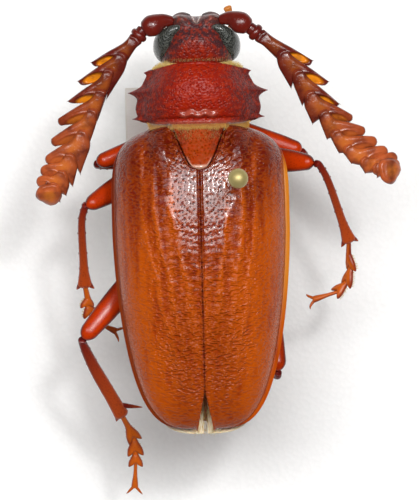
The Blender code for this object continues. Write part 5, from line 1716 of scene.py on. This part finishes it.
@dataclass
class HindBody:
    """Middle and hind thorax and the abdomen with its five overlapping plates."""

    sternum_z: float = 24.2
    plates: tuple[float, ...] = (-0.6, -3.4, -5.5, -7.5, -9.4, -11.5)

    @staticmethod
    def trunk(y: Array, half: Array, top: Array, low: Array, waist: Array) -> Array:
        """Rings that are rounded above the waist level and below it."""
        _, c, s = superellipse(140, 2.3)
        return spread(half * c, y, waist + s * np.where(s > 0, top - waist, waist - low))

    def thorax(self, name: str, table: Points, node: str, parting: float) -> bpy.types.Object:
        """One thorax ring from a table of (y, half width, top, bottom), with plate seams below.

        Args:
            name: the piece's name.
            table: sections from front to back.
            node: the node that it stands for.
            parting: distance from the middle line of the seam between breast and side plates.

        Returns:
            The piece.
        """
        y, half, top, low = smooth_line(table, np.linspace(0, 1, 90)).T[..., None]
        grid = self.trunk(y, half, top, low, np.minimum(TRUNK_WAIST_Z, top - 0.2))
        x, z = grid[..., 0], grid[..., 2]
        under = step(z, 26.6, 25.4)
        middle = bell(x, 0.0, 0.07)
        seams = bell(np.abs(x) - parting + 0.10 * (y - 3.0), 0.0, 0.07)
        grid[..., 2] += under * (0.10 * middle + 0.09 * seams + 0.02 * value_noise(x * 3, y * 3, 6.0))
        marks = {"edge": 0.6 * under * (middle + seams), "along": 0.5}
        return Patch.rings(grid, marks).piece(name, BELLY_HORN, Slot.BODY, (node,))

    def belly(self) -> bpy.types.Object:
        """The abdomen: each plate swells backward, and a soft step parts it from the next."""
        y = np.linspace(self.plates[0], self.plates[-1] - 0.02, 240)[:, None]
        share = (self.plates[0] - y) / (self.plates[0] - self.plates[-1])
        top = tail_slope(dome_height(y, 0.95), y, 0.1) - 1.16
        low = self.sternum_z + 0.5 + 1.0 * share**1.6
        half = np.minimum(dome_half_width(np.maximum(y, FOLDED_END_Y), 1.12), 4.8)
        half = 0.87 * np.maximum(half, 3.1 - 1.7 * share) * np.clip(1 - step(share, 0.95, 1.02) * 0.35, 0, 1)
        place, seam = np.zeros_like(y), np.zeros_like(y)
        for front, back in zip(self.plates, self.plates[1:]):
            inside = (y <= front) & (y > back)
            place = np.where(inside, (front - y) / (front - back), place)
            seam = seam + bell(y, back, 0.10)
        swell = 0.965 + 0.035 * step(place, 0.0, 0.9)
        waist = np.minimum(TRUNK_WAIST_Z - 0.9 * share**3, top - 0.2)
        grid = self.trunk(y, half * swell, top, low - (swell - 1) * 2.5, waist)
        under = step(grid[..., 2], 26.8, 25.6)
        grid[..., 2] += under * 0.02 * value_noise(grid[..., 0] * 3, y * 4, 9.0)
        marks = {"edge": 0.7 * seam + 0.3 * (1 - under), "along": 0.5}
        return Patch.rings(grid, marks).piece("belly_plates", BELLY_HORN, Slot.BODY, ("abdomen",))

    def build(self) -> list[bpy.types.Object]:
        """Makes the two thorax rings and the abdomen."""
        middle = (
            (8.0, 3.0, 27.5, 25.9), (7.3, 3.5, 27.55, 25.1), (6.6, 4.1, 29.6, 24.65),
            (6.2, 4.3, 29.8, 24.45), (5.72, 4.5, 29.8, 24.35),
        )
        hind = (
            (5.5, 4.72, 29.5, 24.45), (4.6, 4.75, 30.0, 24.2), (3.6, 4.78, 30.9, 24.15),
            (1.2, 4.75, 31.0, 24.25), (-0.32, 4.68, 30.9, 24.6),
        )
        return [
            self.thorax("middle_thorax", middle, "mesothorax", 1.9),
            self.thorax("hind_thorax", hind, "metathorax", 2.6),
            self.belly(),
        ]


# Hair


@dataclass
class GoldenFringes:
    """Golden bristles before and behind the front thorax, at the abdomen's tip, and short hair below."""

    seed: int = 7

    def scatter(self, count: int) -> Array:
        """Four fixed random numbers from 0 to 1 for each bristle."""
        return np.random.default_rng(self.seed + count).random((count, 4)).T

    def collar(self) -> bpy.types.Object:
        """Along the front margin of the thorax, pointing forward, long and thick towards the sides."""
        p, q, u, v = self.scatter(1700)
        x = np.sign(p - 0.5) * np.abs(2 * p - 1) ** 0.65 * 3.05
        y = 12.52 - 0.50 * (x / 3.45) ** 2 - 0.12 * q
        z = SHOULDER_Z + 1.72 * (1 - np.abs(x / 3.2) ** 2.6)
        side = bell(np.abs(x), 2.35, 0.65)
        roots = spread(x, y, z - 0.10 * u)
        leans = spread(0.10 * x + 0.7 * (v - 0.5), 0.9, 0.45 - 0.3 * u)
        lengths = (0.04 + 0.10 * q + side * (0.16 + 0.24 * v)) * step(np.abs(x), 3.1, 2.9)
        fringe = Fringe(roots, leans, lengths + 0.03, 0.012, 0.3)
        return fringe.piece("front_collar_hair", GOLD_HAIR, Slot.BODY)

    def skirt(self) -> bpy.types.Object:
        """Along the hind margin of the thorax, rising to the higher roots of the wing cases and scutellum."""
        p, q, u, v = self.scatter(3400)
        x = (2 * p - 1) * 3.45
        middle = step(np.abs(x), 2.2, 1.7)
        lying = middle * (v > 0.25)
        y = 8.47 + 0.28 * np.abs(x / 3.85) ** 4 - 0.08 * q - (0.04 + 0.10 * u) * lying
        z = SHOULDER_Z + 1.74 * (1 - np.abs(x / 3.85) ** 2.4) - 0.02 - 0.08 * u
        z = z + lying * (31.31 - 0.10 * np.abs(x / 1.7) ** 4 - z)
        back = -0.45 - 0.25 * u + 0.25 * middle - 0.8 * lying
        leans = spread(0.6 * (p * 37 % 1 - 0.5) + 0.05 * x, back, 1.0 - 0.88 * lying)
        lengths = (0.95 + 0.32 * q) * step(np.abs(x), 3.55, 2.9) * (1 - (0.90 - 0.20 * u) * lying)
        fringe = Fringe(spread(x, y, z), leans, lengths + 0.03, 0.014, 0.30)
        return fringe.piece("hind_collar_hair", SKIRT_HAIR, Slot.BODY)

    def nap(self) -> bpy.types.Object:
        """Short pale hair on the back of the head, and golden hair on the front of the scutellum."""
        p, q, u, v = self.scatter(1300)
        on_head = v < 0.6
        x = (2 * p - 1) * np.where(on_head, 2.2, 1.6)
        y = np.where(on_head, 12.55, 8.3) + np.where(on_head, 0.9, -0.9) * q ** 1.5
        head_z = HEAD_WAIST_Z + (30.02 - HEAD_WAIST_Z) * np.clip(1 - np.abs(x / 2.42) ** 2.5, 0.05, 1) ** 0.4
        z = np.where(on_head, head_z, 31.22 + 0.05 * (y - 7.2) - 0.10 * np.abs(x / 1.9) ** 4)
        leans = spread(0.7 * (u - 0.5), np.where(on_head, 0.8, -1.0), 0.5)
        fringe = Fringe(spread(x, y, z - 0.02), leans, 0.10 + 0.12 * u, 0.008, 0.2, 3)
        return fringe.piece("nap_hair", SKIRT_HAIR, Slot.BODY)

    def tail(self) -> bpy.types.Object:
        """On the last back plate, seen through the opening of the suture."""
        p, q, u, v = self.scatter(700)
        x = (2 * p - 1) * 0.75
        y = -8.6 - 3.5 * q
        roots = spread(x, y, tail_slope(1.0, y) - 0.02)
        leans = spread(0.5 * (u - 0.5), -1.0, 0.18 + 0.2 * v)
        fringe = Fringe(roots, leans, 0.35 + 0.25 * v, 0.012, 0.25)
        return fringe.piece("tail_hair", GOLD_HAIR, Slot.MEMBRANE)

    def breast(self) -> bpy.types.Object:
        """Short, thin hair that lies back on the underside of the hind thorax."""
        p, q, u, v = self.scatter(1800)
        x = (2 * p - 1) * 4.0
        y = 5.2 - 5.2 * q
        z = TRUNK_WAIST_Z - 3.1 * np.clip(1 - np.abs(x / 4.75) ** 2.3, 0, 1) ** (1 / 2.3)
        leans = spread(0.3 * np.sign(x), -1.0, -0.45 - 0.2 * u)
        fringe = Fringe(spread(x, y, z + 0.03), leans, 0.25 + 0.15 * v, 0.008, 0.0, 3)
        return fringe.piece("breast_hair", GOLD_HAIR, Slot.BODY)

    def build(self) -> list[bpy.types.Object]:
        """Makes all the fringes."""
        return [self.collar(), self.skirt(), self.nap(), self.tail(), self.breast()]


# Mount


@dataclass
class Mount:
    """Insect pin, blank card label and foam block; sizes in millimetres."""

    pin_x: float = 2.5
    pin_y: float = 4.6
    pin_low: float = 0.8
    pin_length: float = 38.0
    radius: float = 0.25
    head_radius: float = 0.66

    def pin(self) -> bpy.types.Object:
        """A turned profile: point, shaft and ball head, carried round the pin's axis."""
        centre = self.pin_low + self.pin_length - self.head_radius * 0.8
        turn = np.linspace(-0.40 * np.pi, 0.485 * np.pi, 40)
        point, shaft = np.linspace(0.10, self.radius, 14), np.full(50, self.radius)
        radii = np.concatenate([[0.02, 0.06], point, shaft, self.head_radius * np.cos(turn)])[:, None]
        rises = [[0.0, 0.04], np.linspace(0.1, 1.6, 14), np.linspace(1.7, centre - self.pin_low - 0.62, 50)]
        head_levels = centre + 0.92 * self.head_radius * np.sin(turn)
        levels = np.concatenate([self.pin_low + np.concatenate(rises), head_levels])[:, None]
        _, c, s = superellipse(48, 2.0)
        grid = spread(self.pin_x + radii * c, self.pin_y + radii * s, levels)
        head = (np.arange(len(radii)) >= len(radii) - len(turn)).astype(float)[:, None]
        patch = Patch.rings(grid, {"head": head})
        return patch.piece("pin_shaft_and_head", PIN_METAL, Slot.PIN, ("insect_pin",))

    @staticmethod
    def slab(low: Array, high: Array, rounding: float, rows: int, columns: int) -> Patch:
        """A box with rounded corners in plan, drawn in by a quarter circle near its upper and lower face."""
        middle, half = (low + high) / 2, (high - low) / 2
        turn = np.linspace(0, 4, columns, endpoint=False)
        k, t = np.floor(turn).astype(int), turn - np.floor(turn)
        flat = np.array([[1, -1], [1, 1], [-1, 1], [-1, -1], [1, -1]], float)
        square = flat[k] + (flat[k + 1] - flat[k]) * t[:, None]
        core = half[:2] - rounding
        rise = np.linspace(-1, 1, rows)
        bend = np.clip((np.abs(rise) - 0.6) / 0.4, 0, 1)
        share = np.sqrt(1 - np.minimum(bend, 0.999) ** 2)
        upright = np.minimum(np.abs(rise) / 0.6, 1) * (half[2] - rounding)
        z = middle[2] + np.sign(rise) * (upright + rounding * bend)
        plan = square * core
        corner = square / np.linalg.norm(square, axis=1, keepdims=True)
        normal = np.where(np.abs(square) > 0.985, np.sign(square), 0.0)
        normal = np.where(np.linalg.norm(normal, axis=1, keepdims=True) > 0.5, unit(normal), corner)
        body = middle[:2] + plan[None] + normal[None] * (rounding * share)[:, None, None]
        lid = np.linspace(0.02, 0.98, 12)
        shares = np.concatenate([lid, np.ones(rows), lid[::-1]])
        plan = np.concatenate([np.repeat(body[:1], 12, 0), body, np.repeat(body[-1:], 12, 0)])
        plan = middle[:2] + (plan - middle[:2]) * shares[:, None, None]
        grid = spread(plan[..., 0], plan[..., 1], np.pad(z, 12, "edge")[:, None])
        return Patch.rings(grid, {"edge": np.pad(np.ones(rows), 12)[:, None], "along": 0.5})

    def build(self) -> list[bpy.types.Object]:
        """Makes the pin, the label and the block, each in its node's box."""
        made = [self.pin()]
        for node, name, rounding, finish, slot in (
            ("label", "blank_label", 0.06, CARD, Slot.CARD),
            ("stand_base", "foam_block", 0.6, FOAM, Slot.FOAM),
        ):
            low, high = (np.array(corner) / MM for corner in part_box(node))
            made.append(self.slab(low, high, rounding, 14, 160).piece(name, finish, slot, (node,)))
        return made


# Studio


@dataclass
class Studio:
    """Pale floor, soft light and the camera of the photograph, straight above.

    Attributes:
        frame_centre: what the middle of the picture shows, at the level of the wing-case margin.
        roll: turn of the camera about its axis, in radians.
        scale: millimetres in one pixel at that level.
        picture: pixels along the picture's long side.
        distance: from the camera to that level.
        floor_reach: half the floor's width, in metres.
    """

    frame_centre: tuple[float, float] = (0.53, -0.012)
    roll: float = -0.0237
    scale: float = 0.067
    picture: int = 500
    distance: float = 350.0
    floor_reach: float = 1.2

    def camera(self) -> None:
        """A long lens whose sensor spans the picture's long side."""
        data = bpy.data.cameras.new("camera")
        data.sensor_width = 36.0
        data.lens = 36.0 * self.distance / (self.scale * self.picture)
        data.clip_end = 10.0
        made = linked("camera", data)
        made.location = np.array([*self.frame_centre, MARGIN_Z + self.distance]) * MM
        made.rotation_euler = (0, 0, self.roll)
        bpy.context.scene.camera = made

    def floor(self) -> None:
        """A wide pale floor under the block."""
        mesh = bpy.data.meshes.new("floor")
        low, high = -self.floor_reach, self.floor_reach
        mesh.from_pydata([(low, low, 0), (high, low, 0), (high, high, 0), (low, high, 0)], [], [(0, 1, 2, 3)])
        mesh.materials.append(Web("floor_paper").finish((0.86, 0.86, 0.86), 0.9))
        linked("floor", mesh)

    def lamp(self, name: str, place: Sequence[float], size: tuple[float, float], glow: float) -> None:
        """A rectangular soft light that faces the specimen.

        Args:
            name: the lamp's name.
            place: where it stands, in millimetres.
            size: its length along X and across, in millimetres.
            glow: its radiance.
        """
        data = bpy.data.lights.new(name, "AREA")
        data.shape = "RECTANGLE"
        data.size, data.size_y = size[0] * MM, size[1] * MM
        data.energy = glow * math.pi * data.size * data.size_y
        made = linked(name, data)
        made.location = np.array(place) * MM
        x, y, z = unit(np.array(place) - (0, 0, MARGIN_Z))
        made.rotation_euler = (-math.atan2(y, math.hypot(x, z)), math.atan2(x, z), 0.0)

    def light(self) -> None:
        """A wide lamp over the head, brighter towards its middle, a small one beside it, and a dim sky."""
        world = bpy.data.worlds.new("tent")
        world.use_nodes = True
        tree = world.node_tree
        kinds = ("TexCoord", "SeparateXYZ", "MapRange")
        place, split, ramp = (tree.nodes.new(f"ShaderNode{kind}") for kind in kinds)
        sky = tree.nodes["Background"]
        tree.links.new(place.outputs["Generated"], split.inputs[0])
        tree.links.new(split.outputs[2], ramp.inputs["Value"])
        tree.links.new(ramp.outputs[0], sky.inputs["Strength"])
        for name, value in (("From Min", 0.15), ("From Max", 0.75), ("To Min", 0.14), ("To Max", 0.05)):
            ramp.inputs[name].default_value = value
        sky.inputs["Color"].default_value = (1.0, 0.99, 0.975, 1.0)
        bpy.context.scene.world = world
        keys = (("key", (330, 106), 7.2), ("key_middle", (262, 84), 5.6), ("key_heart", (190, 62), 4.6))
        for name, size, glow in keys:
            self.lamp(name, (0, 62, 350), size, glow)
        self.lamp("spark", (55, 70, 320), (24, 24), 110.0)
        settings = bpy.context.scene.view_settings
        settings.view_transform = "Standard"
        settings.look = "None"

    def build(self) -> None:
        """Sets the whole stage."""
        self.camera()
        self.floor()
        self.light()


def main() -> None:
    """Builds every part of the specimen in order, then the stage."""
    logging.basicConfig(level=logging.INFO, format="%(message)s")
    parts = [WingCase(side) for side in Side] + [FoldedWing(side) for side in Side]
    parts += [Shield(), FrontThorax(), Head(), *(Eye(side) for side in Side), Mouth()]
    parts += [*FEELERS, *(Leg(path) for path in LEG_PATHS), HindBody(), GoldenFringes(), Mount(), Studio()]
    for part in parts:
        part.build()
        LOG.info("built %s", type(part).__name__)


if __name__ == "__main__":
    main()
